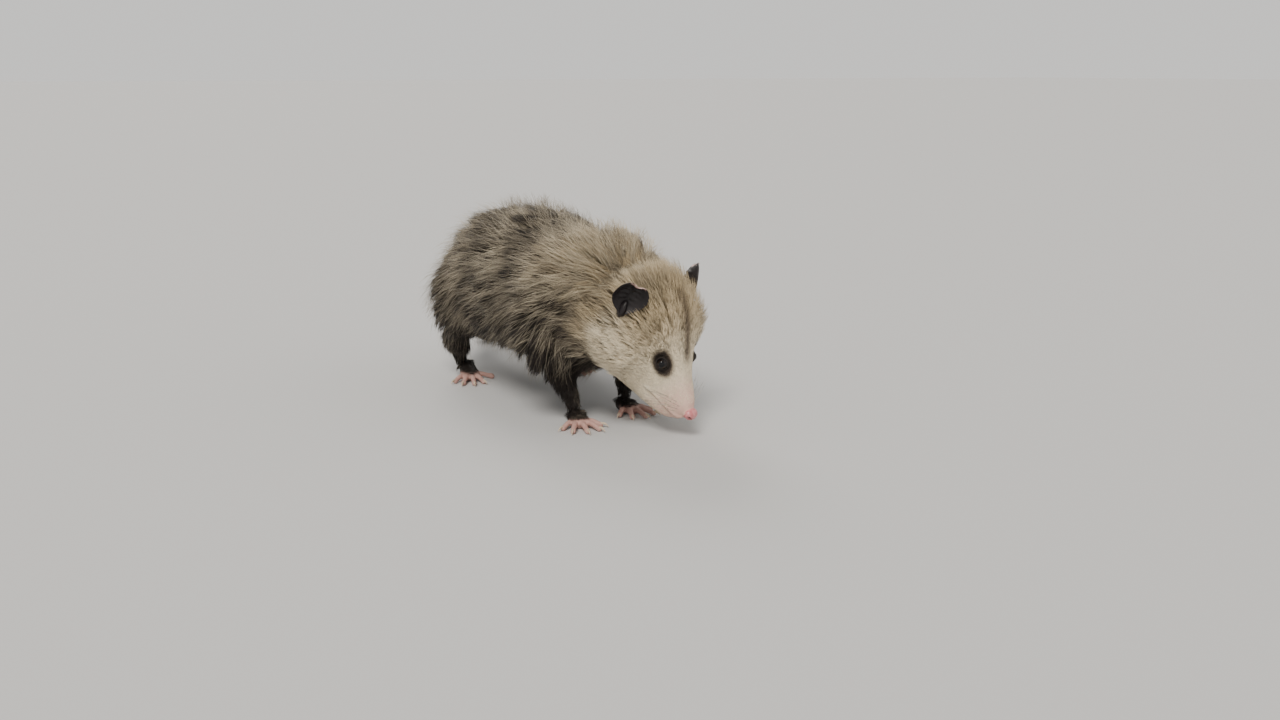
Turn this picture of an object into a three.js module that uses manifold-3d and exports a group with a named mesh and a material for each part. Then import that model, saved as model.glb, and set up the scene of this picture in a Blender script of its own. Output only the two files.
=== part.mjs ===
// A Virginia opossum as a still, life-size model: it stands on all fours with its back arched and its
// head lowered and turned a little to its own left, and its tail lies curled along that side.
// Lengths are in millimetres and angles in degrees. The animal faces -Y and its left side is +X.
// The outlines reach to the tips of the coat, and the soles, toes and tail rest on the plane z = 0.
import * as THREE from "three";
import { mergeVertices } from "three/addons/utils/BufferGeometryUtils.js";
import Module from "manifold-3d";

const wasm = await Module();
wasm.setup();

// Driving sizes
const GAP = 0.3;
const DEGREE = Math.PI / 180;

// The head: where the middle of the nose pad is, how far the head is bent down and turned, and its
// landmarks, each as distance behind the nose, distance from the middle, and height over the nose.
const HEAD = { nose: [41.5, -95.5, 25.5], down: 56, turn: 21, tilt: -4 };
const HEAD_SPAN = { from: 1.5, to: 112, muzzleRound: 3.2, backRound: 34 };
const NOSE_PAD = { behind: -0.4, over: 1, radii: [5.4, 7.2, 5.8] };
const NOSTRIL = { behind: -4.4, aside: 4.4, over: 0.6, radius: 1.7 };
const EYE = { behind: 49, aside: 22, over: 13.2, radius: 6.0 };
const SOCKET = { radius: 8.2, outwards: 3.4 };
const MOUTH = { corner: 43, height: -10.5, slope: -0.17 };

// The ears: where each is rooted, its size, and which way it stands: forwards, outwards and up.
const EAR = { behind: 104, aside: 50, over: 19, long: 37, wide: 32, thick: 1.8, cup: 8.5 };
const EAR_WAYS = { right: [-0.35, 0.12, 0.93], left: [-0.8, 0.1, 0.6] };

// The trunk, from the breast to the rump, and the two planes that part it from the neck and in the
// middle: how far back each stands at the trunk's height, and how far it leans.
const TRUNK = { from: 15, to: 236, breastRound: 54, rumpRound: 68, height: 116 };
const SPLITS = { neck: { at: 16, lean: -34 }, ribs: { at: 128, lean: 0 } };

// Where each foot stands, as distance from the middle and distance behind the animal's origin, and how
// far its toes turn outwards.
const FEET = {
  fore: { right: { aside: 30, behind: -8 }, left: { aside: 36, behind: 14 }, toeOut: 8 },
  hind: { right: { aside: 54, behind: 226 }, left: { aside: 56, behind: 212 }, toeOut: 14 },
};
const TOE_RADIUS = 3.0;
const CLAW = { long: 8.0, radius: 1.4 };

// The tail is parted into a furred base and four bare lengths, all equally long.
const TAIL_LENGTHS = 5;

// Small helpers
const SIDES = { left: 1, right: -1 };
const point = (x, y, z) => new THREE.Vector3(x, y, z);

// Smooth values between the rows of a table whose first column is the distance along the part.
function between(names, rows) {
  const places = rows.map((row) => row[0]);
  const values = rows.flatMap((row) => row.slice(1));
  const cubic = new THREE.CubicInterpolant(places, values, names.length);
  return (place) => {
    const found = cubic.evaluate(THREE.MathUtils.clamp(place, places[0], places.at(-1)));
    return Object.fromEntries(names.map((name, k) => [name, found[k]]));
  };
}

// A closed geometry through a row of rings, with a fan over each end, its faces turned outwards.
function closedOver(rings) {
  const sides = rings[0].length;
  const middle = (ring) => ring.reduce((sum, p) => sum.add(p), point(0, 0, 0)).divideScalar(sides);
  const points = [...rings.flat(), middle(rings[0]), middle(rings.at(-1))];
  const [firstMiddle, lastMiddle] = [points.length - 2, points.length - 1];
  const lastRing = (rings.length - 1) * sides;
  const faces = [];
  for (let k = 0; k < sides; k++) {
    const next = (k + 1) % sides;
    for (let row = 0; row < lastRing; row += sides)
      faces.push(row + k, row + next, row + sides + next, row + k, row + sides + next, row + sides + k);
    faces.push(firstMiddle, next, k);
    faces.push(lastMiddle, lastRing + k, lastRing + next);
  }
  let volume = 0;
  for (let i = 0; i < faces.length; i += 3) {
    const [a, b, c] = [points[faces[i]], points[faces[i + 1]], points[faces[i + 2]]];
    volume += a.dot(b.clone().cross(c));
  }
  if (volume < 0) faces.reverse();
  return new THREE.BufferGeometry().setFromPoints(points).setIndex(faces);
}

// One cross-section: its half width, its height over and depth under its middle, how boxy it is, and how
// much wider it is low down than high up. grow makes it larger all round.
function ring(frame, section, sides, size = 1, grow = 0) {
  const { wide, up, down = up, boxy = 2, pear = 0 } = section;
  const boxed = (x) => Math.sign(x) * Math.abs(x) ** (2 / boxy);
  return Array.from({ length: sides }, (_, k) => {
    const angle = (2 * Math.PI * (k + 0.5)) / sides;
    const height = boxed(Math.sin(angle));
    const reach = size * ((height > 0 ? up : down) + grow);
    const across = boxed(Math.cos(angle)) * size * (wide + grow) * (1 - pear * height);
    return frame.at.clone().addScaledVector(frame.side, across).addScaledVector(frame.up, height * reach);
  });
}

// A body of smoothly changing section along a line. dome rounds off each end by that depth.
function loft({ frameAt, sectionAt, from, to, steps, sides, dome = [0, 0], rounds = 2, grow = 0 }) {
  const [roundFrom, roundTo] = dome.map((depth) => (depth > 0 ? depth + grow : 0));
  const turns = Array.from({ length: rounds }, (_, k) => (((k + 1) / (rounds + 0.25)) * Math.PI) / 2);
  const places = [];
  for (const turn of turns.toReversed())
    if (roundFrom > 0) places.push([from - roundFrom * Math.sin(turn), Math.cos(turn)]);
  for (let k = 0; k <= steps; k++) places.push([from + ((to - from) * k) / steps, 1]);
  for (const turn of turns)
    if (roundTo > 0) places.push([to + roundTo * Math.sin(turn), Math.cos(turn)]);
  return closedOver(places.map(([s, size]) => ring(frameAt(s), sectionAt(s), sides, size, grow)));
}

// A limb or tail: a loft on a curve through named joints, each with its own half sizes. It can be just a
// stretch of the curve, from one share of its length to another. round is how far its free ends bulge.
function limb(joints, { sides = 10, steps = 1, upright, round = 1, rounds, from = 0, to = 1, grow = 0 }) {
  const curve = new THREE.CatmullRomCurve3(joints.map((joint) => point(...joint.at)));
  const length = curve.getLength();
  const last = joints.length - 1;
  const sizes = between(["wide", "up"], joints.map((joint, k) => [(k / last) * length, ...joint.size]));
  const frameAt = (s) => {
    const inside = THREE.MathUtils.clamp(s, 0, length);
    const along = curve.getTangent(inside / length);
    const at = curve.getPoint(inside / length).addScaledVector(along, s - inside);
    const side = along.clone().cross(upright).normalize();
    return { at, side, up: side.clone().cross(along) };
  };
  const bulge = (s) => round * Math.min(sizes(s).wide, sizes(s).up);
  const dome = [from > 0 ? 0 : bulge(0), to < 1 ? 0 : bulge(length)];
  const spans = Math.max(1, Math.round(steps * last * (to - from)));
  const ends = { from: from * length, to: to * length };
  return loft({ frameAt, sectionAt: sizes, ...ends, steps: spans, sides, dome, rounds, grow });
}

function ellipsoid(centre, radii, [around, rows], turned) {
  const geometry = new THREE.SphereGeometry(1, around, rows).scale(...radii).applyMatrix4(turned);
  return geometry.translate(...centre.toArray());
}

const ball = (centre, radius, [around, rows]) =>
  new THREE.SphereGeometry(radius, around, rows).translate(...centre.toArray());

// A closed geometry as a solid that can be joined and cut.
function solid(geometry) {
  const bare = geometry.clone();
  bare.deleteAttribute("normal");
  bare.deleteAttribute("uv");
  const merged = mergeVertices(bare, 1e-3);
  const { array } = merged.attributes.position;
  const mesh = new wasm.Mesh({
    numProp: 3,
    vertProperties: array,
    triVerts: new Uint32Array(merged.index.array),
  });
  return new wasm.Manifold(mesh);
}

const joined = (solids) => solids.reduce((sum, next) => sum.add(next));
const less = (whole, cutters) => cutters.reduce((rest, cutter) => rest.subtract(cutter), whole);

// The largest piece of a solid, so that a cut leaves no crumbs.
function mainBody(whole) {
  return whole.decompose().reduce((best, next) => (next.volume() > best.volume() ? next : best));
}

const FLOOR = solid(new THREE.BoxGeometry(2000, 2000, 100).translate(0, 0, -50));

// The head's own frame
const forward = point(
  Math.cos(HEAD.down * DEGREE) * Math.sin(HEAD.turn * DEGREE),
  -Math.cos(HEAD.down * DEGREE) * Math.cos(HEAD.turn * DEGREE),
  -Math.sin(HEAD.down * DEGREE),
);
const left = point(Math.cos(HEAD.turn * DEGREE), Math.sin(HEAD.turn * DEGREE), 0);
left.applyAxisAngle(forward, HEAD.tilt * DEGREE);
const upward = forward.clone().cross(left);

// A point of the head: distance behind the nose, distance to its left, and height over the nose.
function onHead(behind, aside, over) {
  const at = point(...HEAD.nose).addScaledVector(forward, -behind);
  return at.addScaledVector(left, aside).addScaledVector(upward, over);
}

// A direction of the head: how far forward, to the left and up it points.
function headWay(ahead, aside, over) {
  const way = point(0, 0, 0).addScaledVector(forward, ahead);
  return way.addScaledVector(left, aside).addScaledVector(upward, over).normalize();
}

// Along the head, from the muzzle to behind the ears: a deep snout with a long straight bridge, the brow
// over the eyes, and broad jowls with their ruff.
const headSection = between(
  ["middle", "wide", "up", "down", "boxy", "pear"],
  [
    [1.5, -3.6, 8.6, 9.6, 12.4, 2.1, 0.04],
    [8, -4.8, 12.2, 14.6, 19.4, 2.2, 0.06],
    [18, -6.0, 15.6, 20.0, 25.6, 2.3, 0.08],
    [30, -7.5, 19.2, 26.0, 30.5, 2.4, 0.08],
    [42, -8.0, 26.5, 32.0, 34.2, 2.4, 0.05],
    [54, -7.0, 37.5, 37.6, 38.5, 2.3, 0.02],
    [67, -5.0, 49.0, 42.8, 43.5, 2.25, 0.04],
    [81, -3.0, 55.5, 46.0, 46.5, 2.2, 0.06],
    [96, -1.5, 56.5, 46.5, 47.5, 2.1, 0.06],
    [112, -0.5, 54.0, 45.0, 46.5, 2.05, 0.04],
  ],
);

function headLoft(grow = 0) {
  const frameAt = (s) => ({ at: onHead(s, 0, headSection(s).middle), side: left, up: upward });
  const { from, to, muzzleRound, backRound } = HEAD_SPAN;
  const dome = [muzzleRound, backRound];
  return solid(loft({ frameAt, sectionAt: headSection, from, to, steps: 10, sides: 18, dome, grow }));
}

// The bare pink pad at the tip of the snout, with a nostril opening on each side.
function noseSolid(grow = 0) {
  const turned = new THREE.Matrix4().makeBasis(forward, left, upward);
  const radii = NOSE_PAD.radii.map((radius) => radius + grow);
  const pad = solid(ellipsoid(onHead(NOSE_PAD.behind, 0, NOSE_PAD.over), radii, [10, 7], turned));
  if (grow > 0) return pad;
  const nostrils = Object.values(SIDES).map((side) => {
    const at = onHead(NOSTRIL.behind, side * NOSTRIL.aside, NOSTRIL.over);
    return solid(ball(at, NOSTRIL.radius, [6, 4]));
  });
  return less(pad, nostrils);
}

const eyeCentre = (side) => onHead(EYE.behind, side * EYE.aside, EYE.over);
const eyeWay = (side) => headWay(0.36, side * 0.82, 0.44);

const eyeSolid = (side, grow = 0) => solid(ball(eyeCentre(side), EYE.radius + grow, [10, 7]));

// The hollow that an eye lies in, a little wider than the ball and open to the outside.
function socketSolid(side) {
  const at = eyeCentre(side).addScaledVector(eyeWay(side), SOCKET.outwards);
  return solid(ball(at, SOCKET.radius, [10, 7]));
}

// The three ways of an ear: the way it stands, the way its bowl opens, and across.
function earWays(side) {
  const [ahead, outward, over] = side > 0 ? EAR_WAYS.left : EAR_WAYS.right;
  const tall = headWay(ahead, side * outward, over);
  const open = headWay(0.66, side * 0.66, 0.36);
  open.addScaledVector(tall, -open.dot(tall)).normalize();
  return { tall, open, across: tall.clone().cross(open) };
}

// A point of the ear's bowl: its reach is 0 at the middle and 1 at the rim, its turn goes round from the
// tip, and its face is 1 inside and -1 outside. The rim is drawn in beside the tip, where the ear folds.
function onEar({ root, tall, open, across }, reach, turn, face, grow) {
  const fold = Math.exp(-(((turn - 0.12) / 0.3) ** 2));
  const narrowing = 1 - 0.42 * Math.max(0, -Math.cos(turn)) ** 2;
  const length = (EAR.long / 2) * (1 - 0.16 * fold) * Math.cos(turn);
  const width = (EAR.wide / 2) * narrowing * Math.sin(turn);
  const curl = EAR.cup * (reach ** 2.2 * (1 + 0.35 * fold) - 0.4);
  const wall = (EAR.thick / 2 + grow) * (1 - 0.35 * reach);
  const at = root.clone().addScaledVector(tall, EAR.long / 2 + reach * length);
  return at.addScaledVector(across, reach * width).addScaledVector(open, curl + face * wall);
}

// An ear: a thin bowl on a short stalk.
function earSolid(side, grow = 0) {
  const root = onHead(EAR.behind, side * EAR.aside, EAR.over);
  const ways = earWays(side);
  const spokes = 14;
  const rim = (face) => (reach) =>
    Array.from({ length: spokes }, (_, k) =>
      onEar({ root, ...ways }, reach, (2 * Math.PI * k) / spokes, face, grow),
    );
  const reaches = [0.15, 0.57, 1.0];
  const bowl = solid(closedOver([...reaches.map(rim(1)), ...reaches.toReversed().map(rim(-1))]));
  const inHead = onHead(EAR.behind, side * (EAR.aside - 9), EAR.over - 10);
  const underBowl = root.clone().addScaledVector(ways.tall, EAR.long * 0.2).addScaledVector(ways.open, -3.2);
  const joints = [
    { at: inHead, size: [8.5, 6.5] },
    { at: root, size: [7.6, 5] },
    { at: underBowl, size: [6.2, 2.4] },
  ];
  return bowl.add(solid(limb(joints, { sides: 7, upright: ways.open, rounds: 1, grow })));
}

// The lower jaw is parted from the head by a thin cut along the lips and another behind their corner.
function jawCutter(grow) {
  const [front, deep, slope, halfWide] = [-10, 60, 8, 40];
  const outline = new THREE.Shape();
  const lip = (s) => MOUTH.height + MOUTH.slope * s;
  outline.moveTo(front, lip(front) + grow);
  outline.lineTo(MOUTH.corner + grow, lip(MOUTH.corner) + grow);
  outline.lineTo(MOUTH.corner + slope + grow, lip(MOUTH.corner) - deep);
  outline.lineTo(front, lip(front) - deep);
  const slab = new THREE.ExtrudeGeometry(outline, { depth: 2 * halfWide, bevelEnabled: false });
  slab.translate(0, 0, -halfWide);
  const back = forward.clone().negate();
  const basis = new THREE.Matrix4().makeBasis(back, upward, back.clone().cross(upward));
  basis.setPosition(...HEAD.nose);
  return solid(slab.applyMatrix4(basis));
}

// Along the trunk: the middle's height and the half sizes there.
const trunkSection = between(
  ["middle", "wide", "up", "down", "boxy", "pear"],
  [
    [-40, 96, 76, 62, 50, 2.0, 0.0],
    [15, 111, 79, 69, 61, 2.05, 0.02],
    [55, 116, 86, 74, 68, 2.1, 0.06],
    [105, 117, 89, 76, 71, 2.1, 0.1],
    [155, 118, 91, 77, 74, 2.1, 0.12],
    [200, 117, 90, 77, 73, 2.1, 0.1],
    [236, 114, 84, 74, 69, 2.05, 0.06],
    [304, 99, 80, 66, 58, 2.0, 0.0],
  ],
);

function trunkLoft(grow = 0) {
  const [side, up] = [point(1, 0, 0), point(0, 0, 1)];
  const frameAt = (y) => ({ at: point(0, y, trunkSection(y).middle), side, up });
  const { from, to, breastRound, rumpRound } = TRUNK;
  const ends = { from, to, dome: [breastRound, rumpRound], rounds: 3 };
  return solid(loft({ frameAt, sectionAt: trunkSection, ...ends, steps: 4, sides: 18, grow }));
}

// The neck: a thick collar of fur that joins the low head to the shoulders.
function neckLoft(grow = 0) {
  const joints = [
    { at: onHead(74, 0, 0), size: [34, 32] },
    { at: onHead(104, 0, 0), size: [52, 44] },
    { at: [13, -2, 124], size: [68, 61] },
    { at: [4, 50, 119], size: [75, 68] },
  ];
  return solid(limb(joints, { sides: 16, steps: 2, upright: point(0, 0, 1), round: 0.3, grow }));
}

const footPlace = (kind, side) => (side > 0 ? FEET[kind].left : FEET[kind].right);

// The muscle at the top of a limb: its half sizes, how far it leans, and where its middle is, counted
// from the animal's middle, from the foot backwards, and from the floor.
const MUSCLES = {
  fore: { radii: [29, 38, 46], aside: 59, behindFoot: 26, over: 97, lean: -14 },
  hind: { radii: [30, 50, 50], aside: 66, behindFoot: -4, over: 92, lean: 18 },
};

function muscleSolid(kind, side, grow = 0) {
  const { radii, aside, behindFoot, over, lean } = MUSCLES[kind];
  const centre = point(side * aside, footPlace(kind, side).behind + behindFoot, over);
  const turned = new THREE.Matrix4().makeRotationX(lean * DEGREE);
  return solid(ellipsoid(centre, radii.map((radius) => radius + grow), [12, 8], turned));
}

// The lower limb, from inside the muscle down to the wrist or heel. Each joint has its distance outwards
// and backwards from the foot, its height, and the limb's half sizes there.
const LOWER_LIMBS = {
  fore: [
    { out: 13, back: 32, over: 84, size: [19, 22] },
    { out: 8, back: 28, over: 58, size: [16, 18] },
    { out: 3, back: 18, over: 34, size: [12.5, 13.5] },
    { out: 0, back: 8, over: 15, size: [10, 9] },
  ],
  hind: [
    { out: 12, back: -10, over: 78, size: [21, 26] },
    { out: 9, back: 10, over: 50, size: [18, 22] },
    { out: 3, back: 24, over: 29, size: [12.5, 14] },
    { out: 0, back: 25, over: 13, size: [10, 10] },
  ],
};

function lowerLimb(kind, side, grow = 0) {
  const { aside, behind } = footPlace(kind, side);
  const joints = LOWER_LIMBS[kind].map(({ out, back, over, size }) => ({
    at: [side * (aside + out), behind + back, over],
    size,
  }));
  return solid(limb(joints, { upright: point(0, 1, 0), round: 0.8, grow }));
}

// The toes of each foot, from the inner one out: the way each points, measured outwards from straight
// ahead, its length, where it leaves the foot, and whether it ends in a claw.
const TOES = {
  fore: [
    { way: -52, long: 15, root: [-7, -1], claw: true },
    { way: -25, long: 18, root: [-5.5, -7.5], claw: true },
    { way: 0, long: 19, root: [0, -9.5], claw: true },
    { way: 25, long: 18, root: [5.5, -7.5], claw: true },
    { way: 52, long: 15, root: [7, -1], claw: true },
  ],
  hind: [
    { way: -80, long: 19, root: [-5, -4], claw: false },
    { way: -20, long: 17, root: [-6, -16], claw: true },
    { way: 0, long: 19, root: [-1, -18.5], claw: true },
    { way: 19, long: 18, root: [4.5, -16.5], claw: true },
    { way: 40, long: 15, root: [8.5, -11], claw: true },
  ],
};

// The sole of each foot, from heel to ball: distance backwards, height, and half sizes.
const SOLES = {
  fore: [
    { back: 10, over: 7.2, size: [9, 8] },
    { back: 1, over: 6, size: [11, 6.8] },
    { back: -7, over: 4.9, size: [9.5, 5.6] },
  ],
  hind: [
    { back: 25, over: 7.6, size: [9, 8.6] },
    { back: 9, over: 6.3, size: [10, 7.2] },
    { back: -5, over: 5.6, size: [11.5, 6.4] },
    { back: -14, over: 4.7, size: [10, 5.4] },
  ],
};

// A point of a foot, from its own outward and backward directions.
function onFoot(kind, side, outward, back, height) {
  const { aside, behind } = footPlace(kind, side);
  const turn = FEET[kind].toeOut * DEGREE;
  const x = outward * Math.cos(turn) - back * Math.sin(turn);
  const y = outward * Math.sin(turn) + back * Math.cos(turn);
  return [side * (aside + x), behind + y, height];
}

// A toe bends over its knuckle to a soft pad on the floor, and its claw curves down to the floor.
function toeSolid(kind, side, { way, long, root, claw }) {
  const reach = (share, height) => {
    const outward = root[0] + Math.sin(way * DEGREE) * long * share;
    const back = root[1] - Math.cos(way * DEGREE) * long * share;
    return onFoot(kind, side, outward, back, height);
  };
  const thick = TOE_RADIUS;
  const tip = thick * (claw ? 0.88 : 1.15);
  const upright = point(0, 0, 1);
  const bones = [
    { at: reach(-0.2, 5.4), size: [thick + 0.7, thick + 0.7] },
    { at: reach(0.45, 5.2), size: [thick, thick] },
    { at: reach(1, 2.5), size: [tip, tip] },
  ];
  const toe = solid(limb(bones, { sides: 5, upright, rounds: 1 }));
  if (!claw) return toe;
  const beyond = CLAW.long / long;
  const horn = [
    { at: reach(0.98, 3.7), size: [CLAW.radius, CLAW.radius * 1.2] },
    { at: reach(1 + beyond * 0.62, 4), size: [CLAW.radius * 0.62, CLAW.radius * 0.8] },
    { at: reach(1 + beyond, 1.6), size: [0.4, 0.45] },
  ];
  return toe.add(solid(limb(horn, { sides: 4, upright, round: 0 })));
}

function footSolid(kind, side) {
  const joints = SOLES[kind].map(({ back, over, size }) => ({ at: onFoot(kind, side, 0, back, over), size }));
  const sole = solid(limb(joints, { sides: 8, upright: point(0, 0, 1), rounds: 1 }));
  return joined([sole, ...TOES[kind].map((toe) => toeSolid(kind, side, toe))]);
}

// The tail runs down from the rump, then lies on the floor and bends round along the left side.
const TAIL = [
  { at: [0, 278, 106], size: [25, 24] },
  { at: [0, 316, 88], size: [18, 17.5] },
  { at: [3, 346, 60], size: [12.6, 12.6] },
  { at: [12, 373, 31], size: [11.2, 11.2] },
  { at: [31, 397, 12.2], size: [10.2, 10.2] },
  { at: [64, 412, 8.6], size: [9.2, 9.2] },
  { at: [102, 412, 7.6], size: [8.1, 8.1] },
  { at: [138, 396, 6.6], size: [7.0, 7.0] },
  { at: [166, 367, 5.5], size: [5.9, 5.9] },
  { at: [181, 330, 4.4], size: [4.8, 4.8] },
  { at: [184, 292, 3.4], size: [3.8, 3.8] },
];

const tailSolid = (from, to, grow = 0) =>
  solid(limb(TAIL, { steps: 2, upright: point(0, 0, 1), round: 1.2, from, to, grow }));

// Materials, with the colours of the coat and of the bare skin
const coloured = (color, roughness) => new THREE.MeshStandardMaterial({ color, roughness, metalness: 0 });
const MATERIALS = {
  paleCoat: coloured("#d8cfb8", 0.85),
  greyCoat: coloured("#8f8474", 0.9),
  darkCoat: coloured("#2b2522", 0.9),
  pinkSkin: coloured("#d79a95", 0.5),
  blackSkin: coloured("#1d1a1c", 0.55),
  tailSkin: coloured("#b9a69b", 0.6),
  eye: coloured("#0b0809", 0.08),
};

const parts = new Map();
const addPart = (name, whole, material) => parts.set(name, { whole: mainBody(whole), material });
const onSides = (make) => Object.values(SIDES).map(make);

// Head and face: eyes, ears and nose lie in the head with a small gap, and so does the lower jaw.
const earSpaces = onSides((side) => earSolid(side, GAP));
const eyeSpaces = [...onSides((side) => eyeSolid(side, GAP)), ...onSides(socketSolid)];
const bareHead = less(headLoft(), [...eyeSpaces, ...earSpaces, noseSolid(GAP)]);
addPart("head", bareHead.subtract(jawCutter(GAP / 2)), MATERIALS.paleCoat);
addPart("lower_jaw", bareHead.intersect(jawCutter(-GAP / 2)), MATERIALS.paleCoat);
addPart("nose", noseSolid(), MATERIALS.pinkSkin);
for (const [name, side] of Object.entries(SIDES)) {
  addPart(`eye_${name}`, eyeSolid(side), MATERIALS.eye);
  addPart(`ear_${name}`, earSolid(side), MATERIALS.blackSkin);
}

// Limbs: each foot is cut clear of the limb that stands in it, and each limb of its muscle.
const LIMB_NAMES = { fore: ["shoulder", "forearm", "forefoot"], hind: ["thigh", "shank", "hindfoot"] };
const limbSpaces = [];
for (const [kind, [upper, lower, foot]] of Object.entries(LIMB_NAMES)) {
  for (const [name, side] of Object.entries(SIDES)) {
    const muscleSpace = muscleSolid(kind, side, GAP);
    const lowerSpace = lowerLimb(kind, side, GAP);
    addPart(`${upper}_${name}`, muscleSolid(kind, side), MATERIALS.greyCoat);
    addPart(`${lower}_${name}`, less(lowerLimb(kind, side), [muscleSpace, FLOOR]), MATERIALS.darkCoat);
    addPart(`${foot}_${name}`, less(footSolid(kind, side), [lowerSpace, FLOOR]), MATERIALS.blackSkin);
    limbSpaces.push(muscleSpace, lowerSpace);
  }
}

// Tail: the gap between two lengths is a share of the whole.
const tailLong = new THREE.CatmullRomCurve3(TAIL.map((joint) => point(...joint.at))).getLength();
for (let k = 0; k < TAIL_LENGTHS; k++) {
  const start = k / TAIL_LENGTHS + (k > 0 ? GAP / tailLong : 0);
  const length = tailSolid(start, (k + 1) / TAIL_LENGTHS).subtract(FLOOR);
  if (k === 0) addPart("tail_base", length, MATERIALS.darkCoat);
  else addPart(`tail_length_${k}`, length, MATERIALS.tailSkin);
}

// The torso is neck and trunk in one, cut clear of what grows from it, and then parted by two planes:
// a slanted one before the shoulders and an upright one behind the ribs.
function behindPlane({ at, lean }, grow) {
  const reach = 900;
  const half = new THREE.BoxGeometry(reach, reach, reach).translate(0, reach / 2 - grow, 0);
  return solid(half.rotateX(lean * DEGREE).translate(0, at, TRUNK.height));
}

const torsoSpaces = [headLoft(GAP), ...earSpaces, ...limbSpaces, tailSolid(0, 1, GAP)];
const torso = less(trunkLoft().add(neckLoft()), torsoSpaces);
const afterNeck = torso.intersect(behindPlane(SPLITS.neck, -GAP / 2));
addPart("neck", torso.subtract(behindPlane(SPLITS.neck, GAP / 2)), MATERIALS.paleCoat);
addPart("chest", afterNeck.subtract(behindPlane(SPLITS.ribs, GAP / 2)), MATERIALS.greyCoat);
addPart("loins", afterNeck.intersect(behindPlane(SPLITS.ribs, -GAP / 2)), MATERIALS.greyCoat);

// The whole animal, its parts named, moved so that the middle of its footprint is the origin.
function meshOf(name, { whole, material }) {
  const { vertProperties, triVerts } = whole.getMesh();
  const geometry = new THREE.BufferGeometry();
  geometry.setAttribute("position", new THREE.BufferAttribute(vertProperties, 3));
  geometry.setIndex(new THREE.BufferAttribute(triVerts, 1));
  geometry.computeVertexNormals();
  const mesh = new THREE.Mesh(geometry, material);
  mesh.name = name;
  return mesh;
}

const animal = new THREE.Group();
for (const [name, part] of parts) animal.add(meshOf(name, part));
const box = new THREE.Box3().setFromObject(animal, true);
const middle = box.getCenter(point(0, 0, 0));
animal.position.set(-middle.x, -middle.y, -box.min.z);

const opossum = new THREE.Group();
opossum.name = "opossum";
opossum.add(animal);
export default opossum;
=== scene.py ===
# %% [markdown]
# # A Virginia opossum, built in Blender around its measured frame
#
# The animal is a still, life-size model. Its measured solids say where everything is and how far the tips
# of the coat reach. This script gives them their looks: one skin that lies under the coat, eyes, ears,
# nose and claws as pieces of their own, and a coat of many thousand thin tufts of solid mesh.
#
# The frame is loaded before anything else, and its box is kept, to set how high the coat's tips may reach.

# %% Load the frame
import math

import bmesh
import bpy
import numpy as np
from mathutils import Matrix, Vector
from mathutils.bvhtree import BVHTree
from mathutils.kdtree import KDTree


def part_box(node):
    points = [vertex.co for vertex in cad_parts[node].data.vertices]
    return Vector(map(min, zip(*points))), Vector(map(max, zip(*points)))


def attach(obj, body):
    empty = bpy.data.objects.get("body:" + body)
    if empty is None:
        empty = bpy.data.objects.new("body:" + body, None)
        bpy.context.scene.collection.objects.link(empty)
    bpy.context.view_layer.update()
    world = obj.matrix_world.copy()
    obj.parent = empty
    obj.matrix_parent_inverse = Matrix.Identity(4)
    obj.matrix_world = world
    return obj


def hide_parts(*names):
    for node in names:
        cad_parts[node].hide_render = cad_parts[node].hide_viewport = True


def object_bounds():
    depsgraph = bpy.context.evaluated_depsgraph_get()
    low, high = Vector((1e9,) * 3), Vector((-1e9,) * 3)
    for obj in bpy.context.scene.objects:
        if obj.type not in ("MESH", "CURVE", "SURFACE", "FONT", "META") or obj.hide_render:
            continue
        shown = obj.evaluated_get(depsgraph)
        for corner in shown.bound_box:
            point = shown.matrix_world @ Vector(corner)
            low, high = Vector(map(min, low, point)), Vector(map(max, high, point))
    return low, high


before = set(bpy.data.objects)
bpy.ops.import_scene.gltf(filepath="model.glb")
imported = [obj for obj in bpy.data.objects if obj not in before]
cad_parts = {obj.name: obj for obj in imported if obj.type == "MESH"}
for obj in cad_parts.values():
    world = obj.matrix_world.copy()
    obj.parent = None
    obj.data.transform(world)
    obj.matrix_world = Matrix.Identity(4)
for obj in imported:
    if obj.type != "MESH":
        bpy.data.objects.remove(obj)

cad_box = [list(corner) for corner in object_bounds()]
mm = 0.001
print("solids:", len(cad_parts))

# %% [markdown]
# ## Camera, floor and light
#
# The camera comes first, because it decides which details will show. The photo looks down by 13 degrees
# from in front of the animal's right shoulder. Its field of view follows from the focal length, here
# given in pixels of a picture 1280 pixels wide.
#
# The floor is one plain pale sheet. The light is what a photographer would use for a dark, shaggy animal:
# a large soft light from above and in front, a weak one opposite, and one from behind that catches the
# long hairs on the back. All three are far away, as sun lamps are, so they light the whole floor evenly.
# The room glows a little more near the horizon, so that the floor fades into it without a hard edge.

# %% Camera
PICTURE_WIDTH = 1280
FOCAL_LENGTH = 1258
SENSOR_WIDTH = 36
LOOK_DOWN, LOOK_TURN = 13, -28
CAMERA_PLACE = (-0.5715, -1.2259, 0.335)


def object_of(name, data, material=None):
    """A new object in the scene that shows a mesh, a lamp or a camera."""
    made = bpy.data.objects.new(name, data)
    bpy.context.scene.collection.objects.link(made)
    if material:
        data.materials.append(material)
    return made


camera_data = bpy.data.cameras.new("camera")
camera_data.sensor_width = SENSOR_WIDTH
camera_data.lens = SENSOR_WIDTH * FOCAL_LENGTH / PICTURE_WIDTH
camera = object_of("camera", camera_data)
camera.location = CAMERA_PLACE
camera.rotation_euler = (math.radians(90 - LOOK_DOWN), 0, math.radians(LOOK_TURN))
bpy.context.scene.camera = camera
print("lens:", round(camera_data.lens, 2), "mm")


# %% Floor
FLOOR_REACH, FLOOR_COLOUR, FLOOR_ROUGHNESS = 40.0, (0.56, 0.56, 0.56), 0.9


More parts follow.
